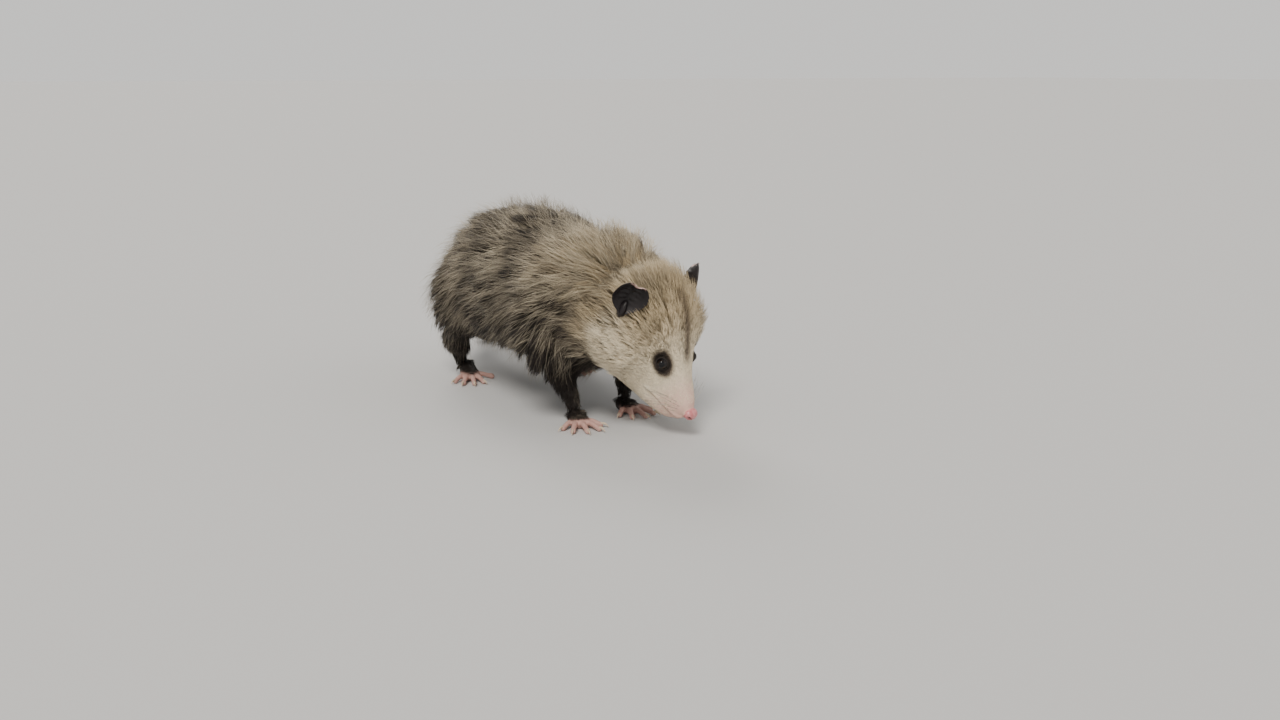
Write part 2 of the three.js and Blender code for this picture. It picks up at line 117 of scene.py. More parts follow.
def material_of(name, colour, roughness, specular=0.5, varnish=0.0, varnish_roughness=0.03):
    """A material with values that are the same all over, its node tree and its shader."""
    material = bpy.data.materials.new(name)
    material.use_nodes = True
    shader = material.node_tree.nodes["Principled BSDF"]
    values = {"Base Color": (*colour, 1), "Roughness": roughness, "Specular IOR Level": specular,
              "Coat Weight": varnish, "Coat Roughness": varnish_roughness}
    for label, value in values.items():
        shader.inputs[label].default_value = value
    return material, material.node_tree, shader


floor_mesh = bpy.data.meshes.new("floor")
floor_corners = [(x * FLOOR_REACH, y * FLOOR_REACH, 0) for x, y in ((-1, -1), (1, -1), (1, 1), (-1, 1))]
floor_mesh.from_pydata(floor_corners, [], [(0, 1, 2, 3)])
paper = material_of("pale paper", FLOOR_COLOUR, FLOOR_ROUGHNESS)[0]
floor = object_of("floor", floor_mesh, paper)
print("floor:", 2 * FLOOR_REACH, "m wide")

# %% Room and lamps
LAMP_COLOUR, GLOW_COLOUR = (1.0, 0.95, 0.88), (1.0, 0.985, 0.955, 1)
# where the glow begins and ends to change, from the horizon at 0 upwards, and its strength there
GLOW_HEIGHTS, GLOW_STRENGTHS = (0.12, 0.40), (0.86, 0.50)
# where the light comes from, its strength, and its width in degrees
LAMPS = {
    "key": ((-1.3, -1.6, 2.1), 3.0, 22),
    "fill": ((1.8, -1.2, 0.9), 0.4, 60),
    "rim": ((0.3, 1.9, 1.3), 1.1, 25),
}


def feed(tree, socket, value):
    """Links another node's socket to this one, or sets a plain value."""
    if isinstance(value, bpy.types.NodeSocket):
        tree.links.new(value, socket)
    else:
        socket.default_value = value


def ranged(tree, value, low, high, to_low=0.0, to_high=1.0):
    """Carries a value from one range to another."""
    node = tree.nodes.new("ShaderNodeMapRange")
    for label, number in (("Value", value), ("From Min", low), ("From Max", high),
                          ("To Min", to_low), ("To Max", to_high)):
        feed(tree, node.inputs[label], number)
    return node.outputs["Result"]


world = bpy.data.worlds.new("soft room")
world.use_nodes = True
tree = world.node_tree
height = tree.nodes.new("ShaderNodeSeparateXYZ")
feed(tree, height.inputs["Vector"], tree.nodes.new("ShaderNodeTexCoord").outputs["Generated"])
background = tree.nodes["Background"]
feed(tree, background.inputs["Strength"], ranged(tree, height.outputs["Z"], *GLOW_HEIGHTS, *GLOW_STRENGTHS))
background.inputs["Color"].default_value = GLOW_COLOUR
bpy.context.scene.world = world

for name, (place, strength, width) in LAMPS.items():
    light = bpy.data.lights.new(name, "SUN")
    light.angle = math.radians(width)
    light.energy = strength
    light.color = LAMP_COLOUR
    lamp = object_of(name, light)
    lamp.location = place
    lamp.rotation_euler = (math.atan2(math.hypot(place[0], place[1]), place[2]), 0,
                           math.atan2(-place[1], -place[0]) - math.pi / 2)
print("lamps:", ", ".join(LAMPS))

# %% [markdown]
# ## The head's own frame
#
# The head is lowered and turned, so its landmarks are easiest to give in a frame of its own: how far
# behind the nose, how far to the animal's left, and how high over the nose, all in millimetres. The nose
# itself is found in the frame.


# %% The head's frame
def unit(vectors):
    """The same directions, one unit long."""
    return vectors / np.maximum(np.linalg.norm(vectors, axis=-1, keepdims=True), 1e-12)


def turned_about(vector, axis, angle):
    """A vector turned about a unit axis by an angle."""
    return (vector * math.cos(angle) + np.cross(axis, vector) * math.sin(angle)
            + axis * np.dot(axis, vector) * (1 - math.cos(angle)))


HEAD_DOWN, HEAD_TURN, HEAD_TILT = (math.radians(angle) for angle in (56, 21, -4))
forward = np.array([math.cos(HEAD_DOWN) * math.sin(HEAD_TURN),
                    -math.cos(HEAD_DOWN) * math.cos(HEAD_TURN),
                    -math.sin(HEAD_DOWN)])
left = turned_about(np.array([math.cos(HEAD_TURN), math.sin(HEAD_TURN), 0]), forward, HEAD_TILT)
upward = np.cross(forward, left)
HEAD_AXES = (forward, left, upward)
SIDES = {"left": 1, "right": -1}


def middle_of(node):
    """The middle of a solid's box."""
    low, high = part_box(node)
    return (np.array(low) + np.array(high)) / 2


PAD_BEHIND, PAD_OVER = -0.4, 1.0
nose_place = middle_of("nose") + mm * (PAD_BEHIND * forward - PAD_OVER * upward)


def head_way(ahead, aside, over):
    """A unit direction of the head: so far forward, to the left and up."""
    return unit(forward * ahead + left * aside + upward * over)


def on_head(behind, aside, over):
    """A point of the head, from distances in millimetres."""
    return nose_place + mm * (-forward * behind + left * aside + upward * over)


def in_head(points):
    """How far behind the nose, to its left and over it each point is, in millimetres."""
    away = (points - nose_place) / mm
    return -away @ forward, away @ left, away @ upward


print("nose at", np.round(nose_place, 4))

# %% [markdown]
# ## Tools for making meshes
#
# Nearly every piece here is worked out with numpy, as arrays of points. A loft joins a row of rings into
# a closed body. Blender's voxel remesh melts overlapping bodies into one, as a sculptor would join lumps
# of clay.


# %% Soft steps and tables
def smooth(x):
    """0 below 0 and 1 above 1, with a soft step between."""
    x = np.clip(x, 0, 1)
    return x * x * (3 - 2 * x)


def bell(x):
    """1 at 0, and soon nothing on both sides of it."""
    return np.exp(-(x**2))


def between(rows):
    """Smooth values between the rows of a table whose first column is the place."""
    table = np.array(rows, float)
    places, values = table[:, 0], table[:, 1:]
    slopes = np.gradient(values, places, axis=0)

    def at(place):
        """The values at one place or at an array of places."""
        place = np.clip(np.atleast_1d(place), places[0], places[-1])
        k = np.clip(np.searchsorted(places, place, side="right") - 1, 0, len(places) - 2)
        width = places[k + 1] - places[k]
        t = ((place - places[k]) / width)[:, None]
        width = width[:, None]
        return ((2 * t**3 - 3 * t**2 + 1) * values[k] + (t**3 - 2 * t**2 + t) * width * slopes[k]
                + (-2 * t**3 + 3 * t**2) * values[k + 1] + (t**3 - t**2) * width * slopes[k + 1])

    return at


# %% Lofts and tubes
def mesh_of(name, points, triangles, smooth_shaded=True):
    """A mesh from arrays of points and triangles."""
    mesh = bpy.data.meshes.new(name)
    points = np.asarray(points, np.float32)
    triangles = np.asarray(triangles, np.int32)
    mesh.vertices.add(len(points))
    mesh.vertices.foreach_set("co", points.ravel())
    mesh.loops.add(triangles.size)
    mesh.loops.foreach_set("vertex_index", triangles.ravel())
    mesh.polygons.add(len(triangles))
    mesh.polygons.foreach_set("loop_start", np.arange(0, triangles.size, 3, dtype=np.int32))
    mesh.polygons.foreach_set("use_smooth", np.full(len(triangles), smooth_shaded))
    mesh.update(calc_edges=True)
    return mesh


def loft(rings):
    """Points and triangles of a closed body through rings, an array of rings x sides x 3."""
    count, sides = rings.shape[:2]
    k = np.arange(sides)
    following = (k + 1) % sides
    quads = []
    for row in range(count - 1):
        a, b = row * sides + k, row * sides + following
        quads += [np.c_[a, b, b + sides], np.c_[a, b + sides, a + sides]]
    first, last = count * sides, count * sides + 1
    end = (count - 1) * sides
    fans = [np.c_[np.full(sides, first), following, k],
            np.c_[np.full(sides, last), end + k, end + following]]
    points = np.vstack([rings.reshape(-1, 3), rings[0].mean(0), rings[-1].mean(0)])
    triangles = np.vstack(quads + fans)
    a, b, c = (points[triangles[:, i]] for i in range(3))
    if np.einsum("ij,ij->", a, np.cross(b, c)) < 0:
        triangles = triangles[:, ::-1]
    return points, triangles


def together(bodies):
    """Several bodies' points and triangles as one pair of arrays."""
    counts = np.cumsum([0] + [len(points) for points, _ in bodies])
    return (np.vstack([points for points, _ in bodies]),
            np.vstack([triangles + start for (_, triangles), start in zip(bodies, counts)]))


def section_ring(at, side, up, wide, high, low, boxy, pear, sides):
    """A closed outline round a point: a rounded box, wider low down where pear is over 0."""
    angle = 2 * np.pi * (np.arange(sides) + 0.5) / sides
    across = np.sign(np.cos(angle)) * np.abs(np.cos(angle)) ** (2 / boxy)
    height = np.sign(np.sin(angle)) * np.abs(np.sin(angle)) ** (2 / boxy)
    across = across * wide * (1 - pear * height)
    height = np.where(height > 0, high, low) * height
    return at + across[:, None] * side + height[:, None] * up


def path_through(joints, count, sizes=None):
    """Even steps of a soft curve through joints, with the sizes given there carried along."""
    joints = np.array(joints, float)
    if sizes is not None:
        joints = np.c_[joints, np.array(sizes, float)]
    padded = np.vstack([2 * joints[0] - joints[1], joints, 2 * joints[-1] - joints[-2]])
    place = np.linspace(0, len(joints) - 1, count)
    k = np.clip(place.astype(int), 0, len(joints) - 2)
    t = (place - k)[:, None]
    a, b, c, d = (padded[k + i] for i in range(4))
    return 0.5 * (2 * b + (c - a) * t + (2 * a - 5 * b + 4 * c - d) * t**2 + (3 * b - a - 3 * c + d) * t**3)


ROUND_TURNS = np.radians([20, 40, 60, 78])


def tube(joints, sizes, count, sides, upright, round_ends=(1.0, 1.0)):
    """A body along a curve, with half sizes across and up at each joint, and rounded ends."""
    line = path_through(joints, count, sizes)
    at, wide, high = line[:, :3], line[:, 3], line[:, 4]
    along = unit(np.gradient(at, axis=0))
    side = unit(np.cross(along, upright))
    up = np.cross(side, along)
    places = [(0, -turn, round_ends[0]) for turn in ROUND_TURNS[::-1]]
    places += [(k, 0, 0) for k in range(count)]
    places += [(count - 1, turn, round_ends[1]) for turn in ROUND_TURNS]
    rings = []
    for k, turn, bulge in places:
        size = math.cos(turn)
        beyond = math.sin(turn) * bulge * min(wide[k], high[k])
        rings.append(section_ring(at[k] + along[k] * beyond, side[k], up[k], wide[k] * size, high[k] * size,
                                  high[k] * size, 2, 0, sides))
    return loft(np.array(rings))


# %% Reading, smoothing and melting meshes
def points_of(mesh, what="co"):
    """The points, or with "normal" their directions outwards, as an array."""
    values = np.empty(len(mesh.vertices) * 3, np.float32)
    mesh.vertices.foreach_get(what, values)
    return values.reshape(-1, 3).astype(float)


def edges_of(mesh):
    """The pairs of points that are joined by an edge."""
    pairs = np.empty(len(mesh.edges) * 2, np.int32)
    mesh.edges.foreach_get("vertices", pairs)
    return pairs.reshape(-1, 2)


def corners_of(mesh):
    """The corners of each face of a mesh whose faces all have as many."""
    return np.array([polygon.vertices[:] for polygon in mesh.polygons])


def move_points(mesh, points):
    """Gives a mesh's points new places."""
    mesh.vertices.foreach_set("co", points.astype(np.float32).ravel())
    mesh.update()


def relax(values, edges, steps, share=0.5):
    """Values at the points of a mesh, drawn step by step towards the mean of their neighbours."""
    count = len(values)
    table = values.reshape(count, -1).astype(float)
    ends = np.r_[edges[:, 0], edges[:, 1]]
    others = np.r_[edges[:, 1], edges[:, 0]]
    neighbours = np.maximum(np.bincount(ends, minlength=count), 1)
    for _ in range(steps):
        means = np.stack([np.bincount(ends, table[others, i], count) / neighbours
                          for i in range(table.shape[1])], axis=1)
        table = table + share * (means - table)
    return table.reshape(values.shape)


def nearest_places(places, points):
    """For each point, which of the places is nearest, and how far off it is."""
    lookup = KDTree(len(places))
    for k, place in enumerate(places):
        lookup.insert(place, k)
    lookup.balance()
    found = [lookup.find(point)[1:] for point in points]
    return [np.array(values) for values in zip(*found)]


# %% Melting bodies together
def finished(piece):
    """Turns a piece with modifiers into a plain mesh."""
    evaluated = piece.evaluated_get(bpy.context.evaluated_depsgraph_get())
    mesh = bpy.data.meshes.new_from_object(evaluated)
    piece.modifiers.clear()
    piece.data = mesh
    return piece


def melted(name, body, voxel):
    """One closed skin round overlapping bodies, with facets of about the voxel's size."""
    piece = object_of(name, mesh_of(name, *body))
    remesh = piece.modifiers.new("melt", "REMESH")
    remesh.mode = "VOXEL"
    remesh.voxel_size = voxel
    return finished(piece)


def solid_of(node, grow=0.0):
    """Points and triangles of a measured solid, merged into one surface and swollen by a little."""
    shell = bmesh.new()
    shell.from_mesh(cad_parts[node].data)
    bmesh.ops.remove_doubles(shell, verts=shell.verts, dist=1e-6)
    bmesh.ops.triangulate(shell, faces=shell.faces)
    shell.normal_update()
    points = np.array([vertex.co + vertex.normal * grow for vertex in shell.verts])
    triangles = np.array([[vertex.index for vertex in face.verts] for face in shell.faces])
    shell.free()
    return points, triangles


# %% [markdown]
# ## The head's skin
#
# The measured solids reach to the tips of the coat, so the skin has to lie deeper: a hair's breadth under
# them on the muzzle and the toes, and about two centimetres on the back.
#
# The head is a loft: at each distance behind the nose a rounded outline with its own middle, half width,
# height and depth. The same outlines made the measured solid. Drawn in by the depth of the fur, which is
# thin on the snout and thickens into the ruff behind the cheeks, they make the head's skin.

# %% Head outlines
HEAD_SECTIONS = between([
    # behind, middle, wide, high, low, boxy, pear
    [1.5, -3.6, 8.6, 9.6, 12.4, 2.1, 0.04],
    [8, -4.8, 12.2, 14.6, 19.4, 2.2, 0.06],
    [18, -6.0, 15.6, 20.0, 25.6, 2.3, 0.08],
    [30, -7.5, 19.2, 26.0, 30.5, 2.4, 0.08],
    [42, -8.0, 26.5, 32.0, 34.2, 2.4, 0.05],
    [54, -7.0, 37.5, 37.6, 38.5, 2.3, 0.02],
    [67, -5.0, 49.0, 42.8, 43.5, 2.25, 0.04],
    [81, -3.0, 55.5, 46.0, 46.5, 2.2, 0.06],
    [96, -1.5, 56.5, 46.5, 47.5, 2.1, 0.06],
    [112, -0.5, 54.0, 45.0, 46.5, 2.05, 0.04],
])
# behind, fur on the sides, fur over, fur under
HEAD_FUR = between([[0, 0.4, 0.4, 0.4], [18, 0.7, 0.7, 0.9], [35, 1.3, 1.1, 1.8], [50, 2.6, 1.8, 3.0],
                    [66, 6.0, 2.8, 5.5], [80, 9.5, 4.0, 8.5], [96, 12.5, 7.0, 12.0], [112, 15, 11, 15],
                    [140, 18, 15, 18]])
HEAD_FROM, HEAD_TO, MUZZLE_ROUND, BACK_ROUND = 1.5, 112, 3.2, 34


def head_ring(behind, size, fur, sides=84):
    """The head's outline at one place, drawn in by a share of the fur's depth."""
    middle, wide, high, low, boxy, pear = HEAD_SECTIONS(behind)[0]
    beside, over, under = HEAD_FUR(behind)[0] * fur
    return section_ring(on_head(behind, 0, middle), left, upward, mm * (wide - beside) * size,
                        mm * (high - over) * size, mm * (low - under) * size, boxy, pear, sides)


def inside_head(points):
    """1 where a point lies within the head's outline, and 0 a little outside it."""
    behind, aside, over = in_head(points)
    middle, wide, high, low, _, _ = HEAD_SECTIONS(np.clip(behind, HEAD_FROM, HEAD_TO)).T
    ring = np.hypot(aside / wide, (over - middle) / np.where(over > middle, high, low))
    return 1 - smooth((ring - 1.07) / 0.15)


def head_body(fur):
    """The whole head with rounded ends, drawn in by a share of the fur's depth."""
    front = np.radians([75, 60, 45, 30, 15])
    back = np.radians(np.arange(8, 80, 8))
    places = [(HEAD_FROM - MUZZLE_ROUND * math.sin(turn), math.cos(turn)) for turn in front]
    places += [(behind, 1.0) for behind in np.linspace(HEAD_FROM, HEAD_TO, 96)]
    places += [(HEAD_TO + BACK_ROUND * math.sin(turn), math.cos(turn)) for turn in back]
    return loft(np.array([head_ring(behind, size, fur) for behind, size in places]))


widest = max(HEAD_SECTIONS(behind)[0, 1] for behind in range(HEAD_TO))
print("head:", round(2 * widest, 1), "mm wide")

# %% [markdown]
# ## The torso's and the legs' skin
#
# On the torso and the legs the solids are melted together with the head's outline, their facets are
# ironed out, and the surface is then drawn inwards by the depth of the coat at each place. The head takes
# part only as a core: it is drawn in everywhere by more than its own fur is deep.

# %% How deep the skin lies
def for_solids(table):
    """A table by solid, in which a name that ends in _ stands for the left and the right one."""
    return {name + side_name: entry for name, entry in table.items()
            for side_name in (SIDES if name.endswith("_") else [""])}


COAT_DEPTH = for_solids({"head": 18, "lower_jaw": 10, "neck": 20, "chest": 21, "loins": 22,
                         "tail_base": 5, "shoulder_": 15, "thigh_": 16, "forearm_": 4.0, "shank_": 4.5})
# how deep the head's core lies, by the distance behind the nose
CORE_DEPTH = between([[0, 4], [20, 6], [60, 9], [100, 17], [120, 18]])
IN_LOFT = ("head", "lower_jaw")
SWELL, FLESH_VOXEL = 0.6 * mm, 2.5 * mm
IRON_STEPS, BLUR_STEPS, SINK_STEPS = 14, 60, 8
torso_parts = [solid_of(node, SWELL) for node in COAT_DEPTH if node not in IN_LOFT]
torso = melted("torso", together(torso_parts + [head_body(fur=0)]), FLESH_VOXEL)


def nearest_node(points, nodes):
    """For each point, which of the solids' surfaces is nearest: its place in the list."""
    best = np.full(len(points), np.inf)
    which = np.zeros(len(points), int)
    for k, node in enumerate(nodes):
        corners, triangles = solid_of(node)
        tree = BVHTree.FromPolygons(corners.tolist(), triangles.tolist())
        far = np.array([tree.find_nearest(point)[3] for point in points])
        which[far < best] = k
        best = np.minimum(best, far)
    return which


torso_edges = edges_of(torso.data)
surface = relax(points_of(torso.data), torso_edges, IRON_STEPS)
move_points(torso.data, surface)
# every seventh point is measured, and the others follow the nearest of those
measured = surface[::7]
depth = mm * np.array(list(COAT_DEPTH.values()))[nearest_node(measured, list(COAT_DEPTH))]
depth = np.minimum(depth, mm * CORE_DEPTH(in_head(measured)[0])[:, 0])
depth = relax(depth[nearest_places(measured, surface)[0]], torso_edges, BLUR_STEPS)
for step in range(SINK_STEPS):
    surface = surface - points_of(torso.data, "normal") * (depth / SINK_STEPS)[:, None]
    surface = relax(surface, torso_edges, 3)
    move_points(torso.data, surface)
print("torso:", len(surface), "points")

# %% [markdown]
# ## Paws
#
# The forefoot spreads five toes like a star. The hind foot has a big toe that stands off sideways like a
# thumb and has no claw. Each toe is a short tube that rises over its knuckle and comes down on a pad.

# %% Feet under the skin
BETWEEN_FEET = nose_place - mm * np.array([41.5, -95.5, 25.5])
FEET = {
    "fore": {"right": (30, -8), "left": (36, 14), "toes_out": 8},
    "hind": {"right": (54, 226), "left": (56, 212), "toes_out": 14},
}
# way, long, where it leaves the foot (outward, back), claw
TOES = {
    "fore": [(-52, 15, (-7, -1), True), (-25, 18, (-5.5, -7.5), True), (0, 19, (0, -9.5), True),
             (25, 18, (5.5, -7.5), True), (52, 15, (7, -1), True)],
    "hind": [(-80, 19, (-5, -4), False), (-20, 17, (-6, -16), True), (0, 19, (-1, -18.5), True),
             (19, 18, (4.5, -16.5), True), (40, 15, (8.5, -11), True)],
}
# back, over the floor, half width, half height
SOLES = {
    "fore": [(10, 7.2, 9, 8), (1, 6, 11, 6.8), (-7, 4.9, 9.5, 5.6)],
    "hind": [(25, 7.6, 9, 8.6), (9, 6.3, 10, 7.2), (-5, 5.6, 11.5, 6.4), (-14, 4.7, 10, 5.4)],
}
FOOT_FUR = 0.7
UP = np.array([0, 0, 1.0])


def on_foot(kind, side_name, outward, back, height):
    """A point of a foot, from its own outward and backward ways and its height over the floor."""
    aside, behind = FEET[kind][side_name]
    turn = math.radians(FEET[kind]["toes_out"])
    x = outward * math.cos(turn) - back * math.sin(turn)
    y = outward * math.sin(turn) + back * math.cos(turn)
    return BETWEEN_FEET + mm * np.array([SIDES[side_name] * (aside + x), behind + y, height])


def on_toe(kind, side_name, toe, share, height):
    """A point over a toe: share is 0 where the toe begins and 1 at its tip."""
    way, long, root, _ = toe
    outward = root[0] + math.sin(math.radians(way)) * long * share
    back = root[1] - math.cos(math.radians(way)) * long * share
    return on_foot(kind, side_name, outward, back, height)


def toe_tube(kind, side_name, toe, shape, sides):
    """A tube along a toe, from rows of: share of the toe, height, half width, half height."""
    joints = [on_toe(kind, side_name, toe, share, height) for share, height, _, _ in shape]
    sizes = [(mm * wide, mm * high) for _, _, wide, high in shape]
    return tube(joints, sizes, 16, sides, UP)


def toe_body(kind, side_name, toe):
    """A toe, with a rounder pad at its tip where there is no claw."""
    tip = 2.6 if toe[3] else 3.3
    shape = [(-0.35, 5.2, 3.5, 3.3), (0.1, 5.4, 3.0, 3.1), (0.45, 5.3, 2.7, 2.7), (0.75, 3.9, 2.5, 2.5),
             (1.0, 2.6, tip, tip)]
    return toe_tube(kind, side_name, toe, shape, 20)


def foot_body(kind, side_name):
    """A foot's sole with its five toes."""
    joints = [on_foot(kind, side_name, 0, back, over) for back, over, _, _ in SOLES[kind]]
    sizes = [(mm * (wide - FOOT_FUR), mm * (high - FOOT_FUR / 2)) for _, _, wide, high in SOLES[kind]]
    sole = tube(joints, sizes, 14, 28, UP)
    return together([sole] + [toe_body(kind, side_name, toe) for toe in TOES[kind]])


# %% The tail under the skin
# places from between the feet, and half sizes, in millimetres
TAIL = [((0, 278, 106), 25), ((0, 316, 88), 18), ((3, 346, 60), 12.6), ((12, 373, 31), 11.2),
        ((31, 397, 12.2), 10.2), ((64, 412, 8.6), 9.2), ((102, 412, 7.6), 8.1), ((138, 396, 6.6), 7.0),
        ((166, 367, 5.5), 5.9), ((181, 330, 4.4), 4.8), ((184, 292, 3.4), 3.8)]
TAIL_FUR = [16, 9.5, 4.4, 1.6, 0.9, 0.8, 0.8, 0.8, 0.8, 0.7, 0.7]
tail_joints = [BETWEEN_FEET + mm * np.array(place) for place, _ in TAIL]
tail_sizes = [(mm * (size - fur), mm * (size - fur)) for (_, size), fur in zip(TAIL, TAIL_FUR)]
tail_body = tube(tail_joints, tail_sizes, 110, 40, UP, round_ends=(1.0, 1.2))
tail_steps = np.diff(path_through(tail_joints, 400), axis=0)
print("tail:", round(np.linalg.norm(tail_steps, axis=1).sum() / mm), "mm long")

# %% [markdown]
# ## One skin
#
# Torso, head, feet and tail now overlap, and a voxel remesh of about a millimetre melts them into one
# closed skin without a seam. Under the long coat nobody sees such fine facets, so a Decimate modifier,
# steered by a vertex group, thins them there and leaves head, feet and tail as they are.

# %% Melt and thin the skin
SKIN_VOXEL = 1.15 * mm
THIN_TO = 0.32            # the share of the facets that is kept, by thinning only under the coat
torso_corners = corners_of(torso.data)
torso_body = (surface, np.vstack([torso_corners[:, [0, 1, 2]], torso_corners[:, [0, 2, 3]]]))
feet = [foot_body(kind, side_name) for kind in FEET for side_name in SIDES]
skin = melted("skin", together([torso_body, head_body(fur=1), tail_body] + feet), SKIN_VOXEL)
bpy.data.objects.remove(torso)

skin_points = points_of(skin.data)
is_head = (1 - smooth((in_head(skin_points)[0] - 104) / 12)) * inside_head(skin_points)
low = 1 - smooth((skin_points[:, 2] - 26 * mm) / (14 * mm))
is_tail = smooth((skin_points[:, 1] - BETWEEN_FEET[1] - 330 * mm) / (14 * mm))
shown = np.clip(is_head + low + is_tail, 0, 1)
covered = skin.vertex_groups.new(name="under the coat")
covered.add(np.flatnonzero(shown < 0.5).tolist(), 1.0, "REPLACE")
thin = skin.modifiers.new("thin", "DECIMATE")
thin.ratio = THIN_TO
thin.vertex_group = covered.name
thin.use_collapse_triangulate = True
finished(skin)
print("skin:", len(skin.data.vertices), "points,", len(skin.data.polygons), "faces")

# %% [markdown]
# ## Lids and lips
#
# The melted skin runs straight over the eyes and the mouth. Its facets are halved twice there, and then
# the points are moved, as a finger would press clay. Round each eye they sink under the eyeball in the
# middle, rise over its edge as the rim of the lids, and meet the old skin half a centimetre further out.
# Along the mouth they sink into a groove under a slightly fuller upper lip. Round the nose pad they are
# drawn to its edge, so that it sits in the snout without a gap or a fold.

# %% Finer facets on the face
EYES = {side_name: middle_of(f"eye_{side_name}") for side_name in SIDES}
EYE_WAYS = {side_name: head_way(0.36, side * 0.82, 0.44) for side_name, side in SIDES.items()}
EYE_RADIUS = 6.0
LIP_OVER, LIP_SLOPE, MOUTH_CORNER, MOUTH_ASIDE = -10.5, -0.17, 43, 30
BEHIND_EYE = -8           # what lies deeper than this behind an eye's middle stays as it is
PAD_MIDDLE, PAD_RADII = on_head(-1.3, 0, 1.2), (5.6, 7.8, 5.9)


def eye_axes(side_name):
    """Unit directions of an eye: towards the nose, upwards, and the way it looks."""
    way = EYE_WAYS[side_name]
    front = unit(forward - way * np.dot(forward, way))
    return front, np.cross(front, way) * SIDES[side_name], way


def beside_eye(points, side_name):
    """How far towards the nose, up and out from an eye's middle each point is, in millimetres."""
    away = (points - EYES[side_name]) / mm
    return [away @ axis for axis in eye_axes(side_name)]


def over_lips(points):
    """How far over the gap of the mouth each point is, in millimetres."""
    behind, _, over = in_head(points)
    return over - LIP_OVER - LIP_SLOPE * behind


def near_face_lines(points, near):
    """True for points within that many millimetres of an eye's lids, the mouth or the nose."""
    behind, _, over = in_head(points)
    chosen = (np.abs(over_lips(points)) < near) & (behind < MOUTH_CORNER + near)
    chosen |= (behind < near) & (np.abs(over) < 14)
    for side_name in SIDES:
        front, up, out = beside_eye(points, side_name)
        chosen |= (np.hypot(front, up) < 5.5 + near) & (out > BEHIND_EYE)
    return chosen


for near in (6.5, 3.5):
    chosen = near_face_lines(points_of(skin.data), near)
    shape = bmesh.new()
    shape.from_mesh(skin.data)
    edges = [edge for edge in shape.edges if chosen[edge.verts[0].index] and chosen[edge.verts[1].index]]
    bmesh.ops.subdivide_edges(shape, edges=edges, cuts=1, use_grid_fill=True)
    bmesh.ops.triangulate(shape, faces=shape.faces)
    shape.to_mesh(skin.data)
    shape.free()
print("skin with a finer face:", len(skin.data.polygons), "faces")


# %% Lids
LID_HEIGHT = 0.6          # how far the lids' rim stands out over the eyeball
SUNK = 1.6                # how deep the skin lies under the eyeball's surface
LID_FROM, RIM_WIDE, RIM_TO, LID_TO = 4.2, 1.2, 5.4, 8.5
WIDEST_TURN = 84
surface = points_of(skin.data)
ironed = relax(surface, edges_of(skin.data), 3)
surface = surface + (ironed - surface) * near_face_lines(surface, 6)[:, None]
for side_name in SIDES:
    front, up, out = beside_eye(surface, side_name)
    away = np.hypot(front, up)
    turn = np.arctan2(up, front)
    opening = 55 + 5 * np.cos(2 * turn) + 9 * bell(turn / 0.4)
    on_lid = opening + 7 + (away - RIM_TO) / (LID_TO - RIM_TO) * (WIDEST_TURN - 7 - opening)
    on_rim = opening - 5 + (away - LID_FROM) / RIM_WIDE * 12
    angle = np.where(away < RIM_TO, on_rim, on_lid)
    angle = np.where(away < LID_FROM, away / LID_FROM * (opening - 5), angle)
    angle = np.radians(np.clip(angle, 0, WIDEST_TURN))
    reach = EYE_RADIUS - SUNK + (SUNK + LID_HEIGHT) * smooth((away - LID_FROM) / RIM_WIDE)
    new_away = reach * np.sin(angle) + np.maximum(away - LID_TO, 0)
    new_out = reach * np.cos(angle)
    new_out -= 0.8 * bell((away - 7.5) / 0.7) * np.maximum(np.sin(turn), 0)
    new_out += 0.16 * np.sin(5.5 * away + 0.8 * np.sin(3 * turn)) * smooth((away - 5.2) / 0.6)
    share = (1 - smooth((away - 6.5) / 5.5)) * (out > BEHIND_EYE)
    new_away = away + share * (new_away - away)
    new_out = out + share * (new_out - out)
    moves = zip((new_away * np.cos(turn), new_away * np.sin(turn), new_out), eye_axes(side_name))
    moved = EYES[side_name] + mm * sum(np.outer(far, axis) for far, axis in moves)
    surface = np.where((share > 0)[:, None], moved, surface)
move_points(skin.data, surface)
print("lids reach", LID_HEIGHT, "mm over the eyeballs")

# %% Lips, and the edge round the nose pad
behind, aside, over = in_head(surface)
gap = over_lips(surface)
mouth = (1 - smooth((behind - MOUTH_CORNER + 9) / 9)) * (behind > -6) * (np.abs(aside) < MOUTH_ASIDE)
move = 0.7 * bell((gap - 2.1) / 1.5) - 1.6 * bell(gap / 0.6)
move -= 0.7 * smooth(-gap / 0.8) * (1 - smooth((-gap - 3) / 7))
surface = surface + points_of(skin.data, "normal") * (mm * move * mouth)[:, None]

# places round the nose pad's middle, as shares of its radii
from_pad = np.stack([(surface - PAD_MIDDLE) / mm @ axis for axis in HEAD_AXES], axis=1) / PAD_RADII
reach = np.linalg.norm(from_pad, axis=1)
from_front = np.degrees(np.arccos(np.clip(from_pad[:, 0] / np.maximum(reach, 1e-6), -1, 1)))
target = 0.45 + 0.58 * smooth((from_front - 74) / 28)
share = (1 - smooth((reach - 1.35) / 0.9)) * (1 - smooth((from_front - 98) / 45))
scale = 1 + share * (target / np.maximum(reach, 1e-6) - 1)
surface = surface + mm * ((scale - 1)[:, None] * from_pad * PAD_RADII) @ np.array(HEAD_AXES)
move_points(skin.data, surface)
print("points moved round the nose pad:", int((share > 0).sum()))

# %% [markdown]
# ## What grows where
#
# Every point of the skin gets the facts that its hair needs: how long, how steep and how thick it is, and
# which way it lies. They come from a short table by part of the body. Averaged with their neighbours many
# times over, they pass softly from one part to the next, as on a real coat. On the head they follow the
# distance behind the nose instead.

# %% The lie and length of the coat
LENGTH, WIDTH, LIFT, DENSITY = range(4)
